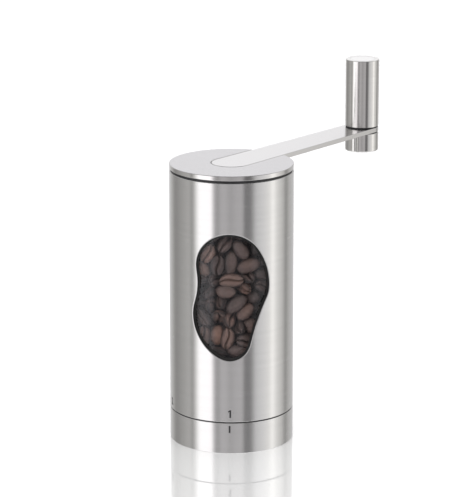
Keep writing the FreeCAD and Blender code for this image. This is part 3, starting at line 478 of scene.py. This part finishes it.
def facing_outline(border):
    """The window's outline and normals, begun at the point that faces the border's first."""
    even, out = even_outline(window_edge(), len(border))
    middle = even.mean(0)
    aim = np.arctan2(border[0, 1] - middle[1], border[0, 0] * TUBE_FACE - middle[0])
    bearing = np.arctan2(even[:, 1] - middle[1], even[:, 0] - middle[0])
    first = int(np.argmin(np.abs(np.angle(np.exp(1j * (bearing - aim))))))
    return np.roll(even, -first, 0), np.roll(out, -first, 0)


def radial(sign):
    """Normals that point away from the tube's axis, or towards it."""
    return lambda angle, _: (sign * math.sin(angle), -sign * math.cos(angle), 0)


def into_window(turn, sign, out):
    """Normals on a rounded edge, turned from the radial direction into the window."""
    def normal(angle, i):
        c, s = math.cos(turn) * sign, math.sin(turn)
        n = Vector((c * math.sin(angle) - s * out[i][0], -c * math.cos(angle), -s * out[i][1]))
        return tuple(n.normalized())
    return normal


def patch_ring(points, normals, outline, radius, normal_at):
    """Adds a ring of the patch, from rows of x and z, and gives its point numbers."""
    start = len(points)
    for i, (x, z) in enumerate(outline):
        angle = math.asin(x / radius)
        points.append((x, -radius * math.cos(angle), z))
        normals.append(normal_at(angle, i))
    return list(range(start, len(points)))


def patch_face(points, normals, border, grown, radius, sign):
    """Rings of one face of the patch, from its border to the window."""
    rows = []
    shares = [k / PATCH_RINGS for k in range(PATCH_RINGS + 1)]
    for share in shares if sign > 0 else reversed(shares):
        eased = share * share * (3 - 2 * share)
        xs = (1 - eased) * radius * np.sin(border[:, 0]) + eased * grown[:, 0]
        zs = (1 - eased) * border[:, 1] + eased * grown[:, 1]
        rows.append(patch_ring(points, normals, np.stack([xs, zs], 1), radius, radial(sign)))
    return rows


def window_lip(points, normals, even, out):
    """Rings round the window's outer edge, through the wall and round its inner edge."""
    steepest, sharp, steps = math.radians(42), 0.02 * MM, 5
    bend = TUBE_EDGE / math.sin(steepest)
    depth = bend * (1 - math.cos(steepest)) + sharp
    turns = [steepest * k / steps for k in range(1, steps + 1)]
    rings = [(TUBE_EDGE - bend * math.sin(t), TUBE_FACE - bend * (1 - math.cos(t)), t, 1)
             for t in turns]
    rings += [(0, TUBE_FACE - depth, math.pi / 2, 1), (0, TUBE_BORE + depth, math.pi / 2, 1)]
    rings += [(TUBE_EDGE - bend * math.sin(t), TUBE_BORE + bend * (1 - math.cos(t)), t, -1)
              for t in reversed(turns)]
    return [patch_ring(points, normals, even + out * away, radius, into_window(turn, sign, out))
            for away, radius, turn, sign in rings]


def tube_row(points, normals, radius, z, flat, up, shared=()):
    """A full ring of the tube, begun with shared: the patch's border points, or None inside it."""
    row = list(shared)
    for k in range(len(row), TUBE_SEGMENTS):
        angle = -PATCH_HALF + 2 * math.pi * k / TUBE_SEGMENTS
        row.append(len(points))
        points.append((radius * math.sin(angle), -radius * math.cos(angle), z))
        normals.append((flat * math.sin(angle), -flat * math.cos(angle), up))
    return row


def wall_rows(points, normals, radius, sign, border):
    """Rows of one face of the tube, from top to bottom, with the patch left open."""
    bottom = PATCH_COLUMNS + PATCH_LINES
    grid = []
    for k, z in enumerate(np.linspace(PATCH_LOW, PATCH_HIGH, PATCH_LINES + 1)[::-1]):
        if k == 0:
            shared = border[:PATCH_COLUMNS + 1]
        elif k == PATCH_LINES:
            shared = border[bottom:bottom + PATCH_COLUMNS + 1][::-1]
        else:
            shared = [border[-k]] + [None] * (PATCH_COLUMNS - 1) + [border[PATCH_COLUMNS + k]]
        grid.append(tube_row(points, normals, radius, z, sign, 0, shared))
    above = tube_row(points, normals, radius, TUBE_TOP - TUBE_EDGE, sign, 0)
    below = tube_row(points, normals, radius, TUBE_BOTTOM + TUBE_EDGE, sign, 0)
    return [above] + grid + [below]


def rim_rows(points, normals, end, way):
    """Rings over the rounded rim at one end of the tube, from outside to inside."""
    steps = 4
    turns = [math.pi / 2 * k / steps for k in range(1, steps)]
    rings = [(TUBE_FACE - TUBE_EDGE * (1 - math.cos(t)), t, 1) for t in turns]
    rings += [(TUBE_FACE - TUBE_EDGE, None, 0), (TUBE_BORE + TUBE_EDGE, None, 0)]
    rings += [(TUBE_BORE + TUBE_EDGE * (1 - math.cos(t)), t, -1) for t in reversed(turns)]
    rows = []
    for radius, turn, side in rings:
        rise = 1 if turn is None else math.sin(turn)
        flat = 0 if turn is None else side * math.cos(turn)
        rows.append(tube_row(points, normals, radius, end - way * TUBE_EDGE * (1 - rise),
                             flat, way * rise))
    return rows


def band(rows, flip=False):
    """Quads between successive full rings, apart from those inside the patch."""
    faces = []
    for a, b in zip(rows, rows[1:]):
        for k in range(TUBE_SEGMENTS):
            m = (k + 1) % TUBE_SEGMENTS
            quad = (a[k], a[m], b[m], b[k])
            if None not in quad:
                faces.append(quad[::-1] if flip else quad)
    return faces


def make_tube(materials):
    """The steel tube with its window, as one closed mesh of quads with rounded edges.

    A rectangular patch round the window is made of rings that run from the patch's border to
    the window's edge, round the edge, through the wall and back out on the inside.
    """
    points, normals = [], []
    border = patch_border()
    even, out = facing_outline(border)
    grown = even + out * TUBE_EDGE
    rows = patch_face(points, normals, border, grown, TUBE_FACE, 1)
    rows += window_lip(points, normals, even, out)
    rows += patch_face(points, normals, border, grown, TUBE_BORE, -1)
    outside = wall_rows(points, normals, TUBE_FACE, 1, rows[0])
    inside = wall_rows(points, normals, TUBE_BORE, -1, rows[-1])
    top = rim_rows(points, normals, TUBE_TOP, 1)
    bottom = rim_rows(points, normals, TUBE_BOTTOM, -1)
    faces = bridge(rows) + band(outside, True) + band(inside)
    faces += band([outside[0]] + top + [inside[0]])
    faces += band([outside[-1]] + bottom + [inside[-1]], True)
    piece("steel_tube", points, faces, "housing", materials["body_steel"], normals,
          ["outer_tube"])


def make_foot_ring(materials):
    """Steel ring at the foot that sets the grind."""
    bore, _ = radii("adjuster_ring")
    low, high = levels("adjuster_ring")
    lathe("grind_ring", [(bore, low), (TUBE_FACE, low), (TUBE_FACE, high), (bore, high)], "adjuster",
          materials["body_steel"], nodes=["adjuster_ring"])


def make_spring(materials):
    """The coil between the mill housing and the burr carrier. In the grinder it flattens with the ring; here it
    keeps its CAD shape.
    """
    mesh = frame["nodes"]["carrier_spring"].data.copy()
    mesh.materials.clear()
    mesh.materials.append(materials["inner_steel"])
    coil = bpy.data.objects.new("steel_coil", mesh)
    bpy.context.scene.collection.objects.link(coil)
    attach(coil, "housing")
    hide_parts("carrier_spring")
    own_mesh(coil)


def make_liner(materials):
    """Clear hopper wall behind the window."""
    low, high = levels("hopper_liner")
    lathe("clear_hopper", [(LINER_BORE, low), (LINER_RADIUS, low), (LINER_RADIUS, high),
                           (LINER_BORE, high)], "housing",
          materials["clear_acrylic"], edge=0.4 * MM, nodes=["hopper_liner"])


# ---------------------------------------------------------------- grind scale

def wrap_mark(name, flat, bearing, base, body, materials):
    """Puts a flat outline mesh (x right, y up) on the steel at a bearing from the window."""
    mesh = bmesh.new()
    mesh.from_mesh(flat)
    bmesh.ops.triangulate(mesh, faces=mesh.faces)
    bmesh.ops.subdivide_edges(mesh, edges=mesh.edges, cuts=1)
    for v in mesh.verts:
        a = FRONT + bearing + v.co.x / TUBE_RADIUS
        reach = TUBE_RADIUS - PRINT * 0.4 if v.co.z > 0 else TUBE_RADIUS - 4 * PRINT
        v.co = (reach * math.cos(a), reach * math.sin(a), base + v.co.y)
    points = [tuple(v.co) for v in mesh.verts]
    faces = [[v.index for v in f.verts] for f in mesh.faces]
    mesh.free()
    return piece(name, points, faces, body, materials["mark_black"])


def number_mesh(text, height):
    """A digit as a thin solid, centred, with its foot at y = 0."""
    curve = bpy.data.curves.new("digit", "FONT")
    curve.body = text
    weight = height * 0.045
    curve.size = (height - 2 * weight) / 0.73       # a digit is 0.73 of the letter size
    curve.align_x = "CENTER"
    curve.extrude = PRINT
    curve.resolution_u = 6
    curve.offset = weight
    obj = bpy.data.objects.new("digit", curve)
    mesh = bpy.data.meshes.new_from_object(obj)
    bpy.data.objects.remove(obj)
    bpy.data.curves.remove(curve)
    return mesh


def flat_mesh(outline):
    """A thin solid of a flat outline, counter-clockwise."""
    count = len(outline)
    points = [(x, y, z) for z in (-PRINT, PRINT) for x, y in outline]
    faces = [tuple(range(count))[::-1], tuple(range(count, 2 * count))]
    faces += [(i, (i + 1) % count, (i + 1) % count + count, i + count) for i in range(count)]
    mesh = bpy.data.meshes.new("mark")
    mesh.from_pydata(points, [], faces)
    return mesh


def figure_one(height):
    """The digit 1 with a short flag."""
    shape = [(-0.02, 0), (0.19, 0), (0.19, 1), (0.03, 1), (-0.2, 0.86), (-0.2, 0.69), (-0.02, 0.78)]
    return flat_mesh([(x * height, y * height) for x, y in shape])


def make_scale(materials):
    """Numbers 1 to 4 round the tube, and the mark on the ring that points at them."""
    height, gap, mark_gap = 3.8 * MM, 2.4 * MM, 1.3 * MM
    lean = math.radians(-1.7)
    for k in range(4):
        digit = number_mesh(str(k + 1), height) if k else figure_one(height)
        wrap_mark(f"grind_number_{k + 1}", digit, lean - k * math.radians(72),
                  TUBE_BOTTOM + gap, "housing", materials)
    width, length = 0.42 * MM, 3.5 * MM
    top = levels("adjuster_ring")[1] - mark_gap
    bar = flat_mesh([(-width, 0), (width, 0), (width, length), (-width, length)])
    wrap_mark("grind_mark", bar, lean, top - length, "adjuster", materials)


# ---------------------------------------------------------------- lid, arm and knob

def arm_ends(grow=0.0):
    """Hub radius, knob-end radius and the lean of the arm's sides."""
    points = np.array([v.co for v in frame["nodes"]["crank_arm"].data.vertices])
    along = points[:, 0] * math.cos(ARM_ANGLE) + points[:, 1] * math.sin(ARM_ANGLE)
    hub, end = -along.min() + grow, along.max() - CRANK_RADIUS + grow
    return hub, end, math.acos((hub - end) / CRANK_RADIUS)


def make_arm(materials):
    """Flat crank arm, with the corners of its outline as arcs."""
    hub, end, lean = arm_ends()
    outline = arc_points((0, 0), hub, ARM_ANGLE + lean, ARM_ANGLE + 2 * math.pi - lean, 64)
    outline += arc_points(KNOB_AXIS, end, ARM_ANGLE - lean, ARM_ANGLE + lean, 64)
    low, high = levels("crank_arm")
    # The arm's steel is darkened as painted shade.
    slab("steel_arm", rounded(outline, 1 * MM), low, high, 0.28 * MM, "crank_lid",
         materials["arm_steel"], materials["edge_steel"], ["crank_arm"])


def make_lid(materials):
    """Round lid with the slot that the arm lies in."""
    gap = 0.25 * MM
    hub, _, lean = arm_ends(gap)
    radius = radii("lid_plate")[1]
    slope = math.pi / 2 - lean          # the slot's sides close up by this towards the knob
    reach = math.asin(hub / radius) - slope
    low, high = levels("lid_plate")
    start, end = ARM_ANGLE + reach, ARM_ANGLE + 2 * math.pi - reach
    outline = arc_points((0, 0), radius, start, end, 120)
    outline += arc_points((0, 0), hub, ARM_ANGLE - lean, ARM_ANGLE + lean - 2 * math.pi, 120)
    # The lid's steel is darkened as painted shade.
    slab("steel_lid", rounded(outline, 0.5 * MM), low, high, 0.28 * MM, "crank_lid",
         materials["lid_steel"], materials["edge_steel"], ["lid_plate"], open_ring=True)


def make_knob(materials):
    """Steel knob sleeve and its cap. The foot below the arm stays the CAD node."""
    low, high = levels("knob_sleeve")
    steel = materials["knob_steel"]
    lathe("steel_knob", [(KNOB_BORE, low), (KNOB_RADIUS, low), (KNOB_RADIUS, high),
                         (KNOB_BORE, high)], "knob", steel,
          edge=(0.1 * MM, 0.2 * MM, 0.25 * MM, 0.03 * MM),
          centre=KNOB_AXIS, nodes=["knob_sleeve"], segments=96)
    # The cap's brighter steel is a painted highlight on the knob's top.
    low, high = levels("knob_cap")
    reach = radii("knob_cap", KNOB_AXIS)[1]
    lathe("steel_knob_cap", [(0, low), (reach, low), (reach, high), (0, high)], "knob",
          materials["cap_steel"], edge=0.03 * MM, centre=KNOB_AXIS,
          nodes=["knob_cap"], segments=96)


# ---------------------------------------------------------------- coffee beans

BEAN_HALF = (5.5 * MM, 3.8 * MM, 2.7 * MM)      # half length, half width, half thickness
BALL, BALL_OFFSET = 3.05 * MM, 2.75 * MM        # a bean packs as three balls in a row
BEAN_COUNT = 420


def bean_shape(rng):
    """One bean lying along x, domed towards +z: points, faces, chaff in its crease, and crown.

    The last is painted light: 1 where a bean stands out most, as a painted highlight, and falling towards its rim
    and crease, as painted shade.
    """
    length, width, _ = (h * rng.uniform(0.92, 1.06) for h in BEAN_HALF)
    dome = BEAN_HALF[2] * rng.uniform(1.0, 1.2)
    flat = BEAN_HALF[2] * rng.uniform(0.6, 0.75)
    wave, phase, bow = rng.uniform(0.2, 0.7) * MM, rng.uniform(-0.6, 0.6), rng.uniform(-0.5, 0.5) * MM
    depth, mouth = rng.uniform(1.2, 1.7) * MM, rng.uniform(0.24, 0.36) * MM
    stations, upper = 19, 13
    reach = np.linspace(-1, 1, 17)
    dense = np.sign(reach) * np.abs(reach) ** 1.9
    points, chaff, painted_shading, rows = [(-length, bow, 0)], [0.0], [0.5], []
    for k in range(1, stations):
        s = -math.cos(math.pi * k / stations)
        swell = (1 - s * s) ** 0.46
        middle = bow * (s * s) + 0.15 * MM * math.sin(3 * s + phase)
        w, h, f = width * swell, dome * swell, flat * swell ** 0.8
        row = []
        # The fourth value of each point is painted light: highest on the dome's top, falling as painted shade
        # towards the rim and the bean's ends.
        for t in np.linspace(0, math.pi, upper):
            row.append((middle + w * math.cos(t), h * math.sin(t) ** 0.92, 0.0,
                        math.sin(t) * swell ** 0.5))
        crease = wave * math.sin(2.6 * s + phase) * swell
        for g in dense[1:-1]:
            y = g * w
            d = (y - crease) / MM       # millimetres from the crease
            groove = depth * swell ** 0.7 * math.exp(-(d * MM / mouth) ** 2)
            valley = 0.4 * MM * swell * math.exp(-(d / 1.3) ** 2)
            bottom = -f * (1 - abs(g) ** 3.4) ** 0.6 + groove + valley
            # Painted shade in the crease and a painted highlight on its lips, and painted shade towards the rim of
            # the flat side.
            crease_shade_lip_highlight = 1 - 0.85 * math.exp(-(d / 0.55) ** 2) + 0.35 * math.exp(-((abs(d) - 1) / 0.4) ** 2)
            row.append((middle + y, bottom, math.exp(-(d / 0.3) ** 2) * swell,
                        (1 - abs(g) ** 3) * swell ** 0.5 * crease_shade_lip_highlight))
        rows.append(list(range(len(points), len(points) + len(row))))
        for y, z, c, k in row:
            points.append((length * s, y, z))
            chaff.append(c)
            painted_shading.append(k)
    points.append((length, bow, 0))
    chaff.append(0.0)
    painted_shading.append(0.5)
    faces = bridge(rows)
    count = len(rows[0])
    last = len(points) - 1
    faces += [(0, rows[0][(i + 1) % count], rows[0][i]) for i in range(count)]
    faces += [(last, rows[-1][i], rows[-1][(i + 1) % count]) for i in range(count)]
    faces = [tuple(reversed(f)) for f in faces]
    return np.array(points), faces, np.array(chaff), np.array(painted_shading)


def pack_beans(rng, low, fill, count):
    """Shakes beans apart in the hopper, and gives their centres and long axes."""
    room = LINER_BORE - BALL
    hub = SHAFT_RADIUS + BALL
    angle, reach = rng.uniform(0, 2 * math.pi, count), np.sqrt(rng.uniform(0.06, 1, count)) * room
    centre = np.stack([reach * np.cos(angle), reach * np.sin(angle),
                       rng.uniform(low, fill + 4 * MM, count)], 1)
    axis = rng.normal(size=(count, 3)) * (1, 1, 0.75)
    axis /= np.linalg.norm(axis, axis=1)[:, None]
    offsets = np.array([-1, 0, 1]) * BALL_OFFSET
    owner = np.repeat(np.arange(count), 3)
    side = np.tile(offsets, count)
    for turn in range(240):
        centre[:, 2] -= 0.04 * MM
        balls = centre[owner] + axis[owner] * side[:, None]
        if turn % 8 == 0:
            first, second = near_balls(balls, owner, 2 * BALL + 2 * MM)
        push = np.zeros_like(balls)
        gap = balls[first] - balls[second]
        far = np.linalg.norm(gap, axis=1) + 1e-9
        deep = np.maximum(2 * BALL - far, 0)[:, None] * gap / far[:, None] * 0.5
        np.add.at(push, first, deep)
        np.add.at(push, second, -deep)
        flat = np.hypot(balls[:, 0], balls[:, 1]) + 1e-9
        away = balls[:, :2] / flat[:, None]
        push[:, :2] -= away * np.maximum(flat - room, 0)[:, None]
        push[:, :2] += away * np.maximum(hub - flat, 0)[:, None]
        push[:, 2] += np.maximum(low + BALL - balls[:, 2], 0)
        for k in range(3):
            centre += push[k::3] * 0.5
            axis += push[k::3] * (offsets[k] / BALL_OFFSET ** 2) * 0.4
        axis /= np.linalg.norm(axis, axis=1)[:, None]
    return centre, axis


def near_balls(balls, owner, limit):
    """Pairs of balls of different beans that are closer than a limit."""
    order = np.argsort(balls[:, 2])
    heights = balls[order, 2]
    pairs = []
    for step in range(1, len(order)):
        near = heights[step:] - heights[:-step] < limit
        if not near.any():
            break
        a, b = order[:-step][near], order[step:][near]
        gap = balls[a] - balls[b]
        keep = ((gap ** 2).sum(1) < limit ** 2) & (owner[a] != owner[b])
        pairs.append(np.stack([a[keep], b[keep]]))
    return np.concatenate(pairs, 1)


def bean_turn(axis, away, rng):
    """Rotation of a bean: its long axis kept, and its flat or dome towards the wall."""
    thick = away * rng.uniform(0.8, 1.3) + rng.normal(size=3) * 0.33
    thick -= axis * (thick @ axis)
    thick /= np.linalg.norm(thick)
    if rng.uniform() < 0.6:
        thick = -thick
    return np.stack([axis, np.cross(thick, axis), thick], 1)


def clear_of_walls(points, away, low, at_wall):
    """Moves a bean off the hopper's wall, the shaft and the floor. One at the wall touches it."""
    over = np.hypot(points[:, 0], points[:, 1]).max() - (LINER_BORE - 0.15 * MM)
    if over > 0 or at_wall:
        points = points - away * over
    inner = SHAFT_RADIUS + 0.3 * MM - np.hypot(points[:, 0], points[:, 1]).min()
    if inner > 0:
        points = points + away * inner
    lift = low + 0.1 * MM - points[:, 2].min()
    return points + (0, 0, lift) if lift > 0 else points


def make_beans(materials):
    """The beans that show: those behind the window, and the top of the heap."""
    rng = np.random.default_rng(SEED)
    low = levels("mill_housing")[1]
    fill = levels("window_gasket")[1] + 4 * MM
    heap = fill - 13 * MM               # beans above this show from the open top
    shapes = [bean_shape(rng) for _ in range(8)]
    groups = {"beans_front": [], "beans_behind": [], "beans_top": []}
    for centre, axis in zip(*pack_beans(rng, low, fill, BEAN_COUNT)):
        reach = math.hypot(centre[0], centre[1])
        away = np.array([centre[0], centre[1], 0]) / reach
        shape, faces, chaff, painted_shading = shapes[rng.integers(len(shapes))]
        turned = shape @ bean_turn(axis, away, rng).T * rng.uniform(0.94, 1.05)
        tone = rng.beta(2.0, 2.6)
        facing = abs(math.remainder(math.atan2(centre[1], centre[0]) - FRONT, 2 * math.pi))
        behind_window = facing < math.radians(62) and reach > 8 * MM
        if centre[2] > fill or not (behind_window or centre[2] > heap):
            continue
        at_wall = reach > LINER_BORE - 5.2 * MM
        points = clear_of_walls(turned + centre, away, low, at_wall)
        group = "beans_front" if at_wall else "beans_behind"
        if centre[2] > heap and not behind_window:
            group = "beans_top"
        if group == "beans_behind":
            tone *= 0.35                # in the shade of the beans in front
        groups[group].append((points, faces, chaff, painted_shading, tone))
    for name, members in groups.items():
        join_beans(name, members, materials)


def join_beans(name, members, materials):
    """Many beans as one piece, with their tones and chaff as attributes."""
    points, faces, chaff, painted_shading, tones_with_painted_shade = [], [], [], [], []
    for bean, bean_faces, bean_chaff, bean_painted_shading, tone in members:
        start = len(points)
        points.extend(bean)
        faces.extend([tuple(i + start for i in f) for f in bean_faces])
        chaff.extend(bean_chaff * (0.9 if tone > 0.62 else 0.25))
        painted_shading.extend(bean_painted_shading)
        tones_with_painted_shade.extend([tone] * len(bean))
    obj = piece(name, points, faces, "housing", materials["roasted_bean"])
    # The last attribute is painted light: a painted highlight on each bean's top and painted shade at its rim and
    # crease.
    for label, values in (("tone", tones_with_painted_shade), ("chaff", chaff), ("painted_shading", painted_shading)):
        layer = obj.data.attributes.new(label, "FLOAT", "POINT")
        layer.data.foreach_set("value", np.array(values, np.float32))


# ---------------------------------------------------------------- carried-over CAD pieces

def dress_cad_nodes(materials):
    """Gives each CAD node that stays the material of its slot."""
    slots = {part["node"]: part["material_slot"] for part in frame["record"]["subparts"]}
    for name, obj in frame["nodes"].items():
        material = materials[slots[name]]
        for place in obj.material_slots:
            place.material = material
        if not obj.material_slots:
            obj.data.materials.append(material)


# ---------------------------------------------------------------- studio

# Panels of the studio, seen from the object: (degrees to the right of the camera, brightness).
# They are set so that the tube shows the photograph's bands, whose grey levels were measured for it.
PANELS = [
    (-180, 1.15), (-164, 0.74), (-140, 0.50), (-132, 0.35), (-125, 0.30), (-112, 0.39),
    (-84, 0.52), (-78, 0.28), (-72, 0.70), (-63, 1.50), (-38, 1.54), (-34, 0.72), (-30, 0.41),
    (-25, 0.34), (-20, 0.51), (-12, 0.52), (-2, 0.41), (8, 0.48), (20, 0.52), (25, 0.17),
    (36, 0.20), (41, 0.40), (46, 0.66), (60, 0.80), (76, 0.98), (82, 1.34), (94, 0.90),
    (112, 0.62), (120, 0.29), (132, 0.54), (162, 0.66), (180, 1.15),
]


def panel_tint(angle):
    """Tint of a panel: warm walls at the sides, a touch of pink near the camera."""
    if abs(angle) > 150:
        return 1.0, 0.995, 1.0
    if abs(angle) > 66:
        return 1.0, 0.985, 0.955
    return (1.0, 0.97, 0.98) if abs(angle) < 40 else (1.0, 0.99, 0.99)


def make_world():
    """Studio of upright panels, an even ceiling that darkens overhead, and a white backdrop."""
    world = bpy.data.worlds.new("studio")
    world.use_nodes = True
    bpy.context.scene.world = world
    tree = world.node_tree
    tree.nodes.clear()
    way = node(tree, "ShaderNodeTexCoord").outputs["Generated"]
    parts = node(tree, "ShaderNodeSeparateXYZ", {"Vector": way})
    front = node(tree, "ShaderNodeMath", {0: parts.outputs["Y"], 1: -1.0}, operation="MULTIPLY")
    angle = node(tree, "ShaderNodeMath", {0: parts.outputs["X"], 1: front.outputs[0]},
                 operation="ARCTAN2")
    place = node(tree, "ShaderNodeMapRange", {
        "Value": angle.outputs[0], "From Min": -math.pi, "From Max": math.pi})
    top = max(light for _, light in PANELS)
    stops = [((a + 180) / 360, tuple(v / top * t for t in panel_tint(a))) for a, v in PANELS]
    panels = ramp(tree, place.outputs["Result"], stops)
    height = node(tree, "ShaderNodeMapRange", {
        "Value": parts.outputs["Z"], "From Min": -1.0, "From Max": 1.0})
    sky = ramp(tree, height.outputs["Result"], [
        (0.0, (0.62,) * 3), (0.6, (0.7,) * 3), (0.74, (0.64,) * 3), (0.84, (0.16,) * 3),
        (0.92, (0.03,) * 3)])
    share = ramp(tree, height.outputs["Result"], [
        (0.14, (1, 1, 1)), (0.22, (0, 0, 0)), (0.68, (0, 0, 0)), (0.8, (1, 1, 1))])
    mixed = node(tree, "ShaderNodeMix", {"Factor": share}, data_type="RGBA")
    tree.links.new(panels, mixed.inputs[6])
    tree.links.new(sky, mixed.inputs[7])
    studio = node(tree, "ShaderNodeBackground", {"Color": mixed.outputs[2], "Strength": top})
    backdrop = node(tree, "ShaderNodeBackground", {"Color": (1, 1, 1, 1), "Strength": 1.0})
    rays = node(tree, "ShaderNodeLightPath")
    shown = node(tree, "ShaderNodeMixShader", {
        "Fac": rays.outputs["Is Camera Ray"], 1: studio.outputs["Background"],
        2: backdrop.outputs["Background"]})
    node(tree, "ShaderNodeOutputWorld", {"Surface": shown.outputs["Shader"]})


def make_floor():
    """A wide pale gloss floor. The steel reflects the studio's panels instead of it."""
    made, tree = new_material("floor_white")
    haze = spread(tree, streaks(tree, (40, 40, 40), 2.0), 0.03, 0.05)
    matt = node(tree, "ShaderNodeBsdfDiffuse", {"Color": (0.95, 0.95, 0.95, 1)})
    gloss = node(tree, "ShaderNodeBsdfGlossy", {"Color": (1, 1, 1, 1), "Roughness": haze})
    mixed = node(tree, "ShaderNodeMixShader", {
        "Fac": 0.6, 1: matt.outputs["BSDF"], 2: gloss.outputs["BSDF"]})
    finish_material(made, tree, mixed.outputs["Shader"])
    mesh = bpy.data.meshes.new("floor")
    half = 40
    mesh.from_pydata([(-half, -half, 0), (half, -half, 0), (half, half, 0), (-half, half, 0)],
                     [], [(0, 1, 2, 3)])
    floor = bpy.data.objects.new("floor", mesh)
    floor.location.z = -0.02 * MM
    bpy.context.scene.collection.objects.link(floor)
    floor.data.materials.append(made)
    floor.visible_glossy = False


def make_light(name, place, target, size, power):
    """A soft square light that lights the matt surfaces and stays out of the steel."""
    data = bpy.data.lights.new(name, "AREA")
    data.shape = "SQUARE"
    data.size = size
    data.energy = power
    light = bpy.data.objects.new(name, data)
    light.location = place
    light.rotation_euler = (Vector(target) - Vector(place)).to_track_quat("-Z", "Y").to_euler()
    light.visible_glossy = False
    bpy.context.scene.collection.objects.link(light)


def make_camera():
    """Long lens from in front and a little above."""
    rise, distance = math.radians(14.78), 1.35
    target = Vector((1.94 * MM, 0, 94.24 * MM))
    data = bpy.data.cameras.new("camera")
    data.lens = 202.36
    data.sensor_width = data.sensor_height = 36
    data.clip_start, data.clip_end = 0.05, 200
    camera = bpy.data.objects.new("camera", data)
    camera.location = target + distance * Vector((0, -math.cos(rise), math.sin(rise)))
    camera.rotation_euler = (math.pi / 2 - rise, 0, 0)
    bpy.context.scene.collection.objects.link(camera)
    bpy.context.scene.camera = camera


def make_studio():
    """Camera, world, floor and lights. White stays white in the picture."""
    bpy.context.scene.view_settings.view_transform = "Standard"
    make_camera()
    make_world()
    make_floor()
    middle = (0, 0, 0.08)
    make_light("key", (-0.5, -1.0, 0.9), middle, 0.9, 11)
    make_light("fill", (0.9, -0.7, 0.6), middle, 0.8, 5)
    make_light("floor_wash", (0, 0, 14), (0, 0, 0), 16, 1900)


# ---------------------------------------------------------------- build

materials = make_materials()
dress_cad_nodes(materials)
make_tube(materials)
make_foot_ring(materials)
make_liner(materials)
make_spring(materials)
make_scale(materials)
make_arm(materials)
make_lid(materials)
make_knob(materials)
make_beans(materials)
make_studio()
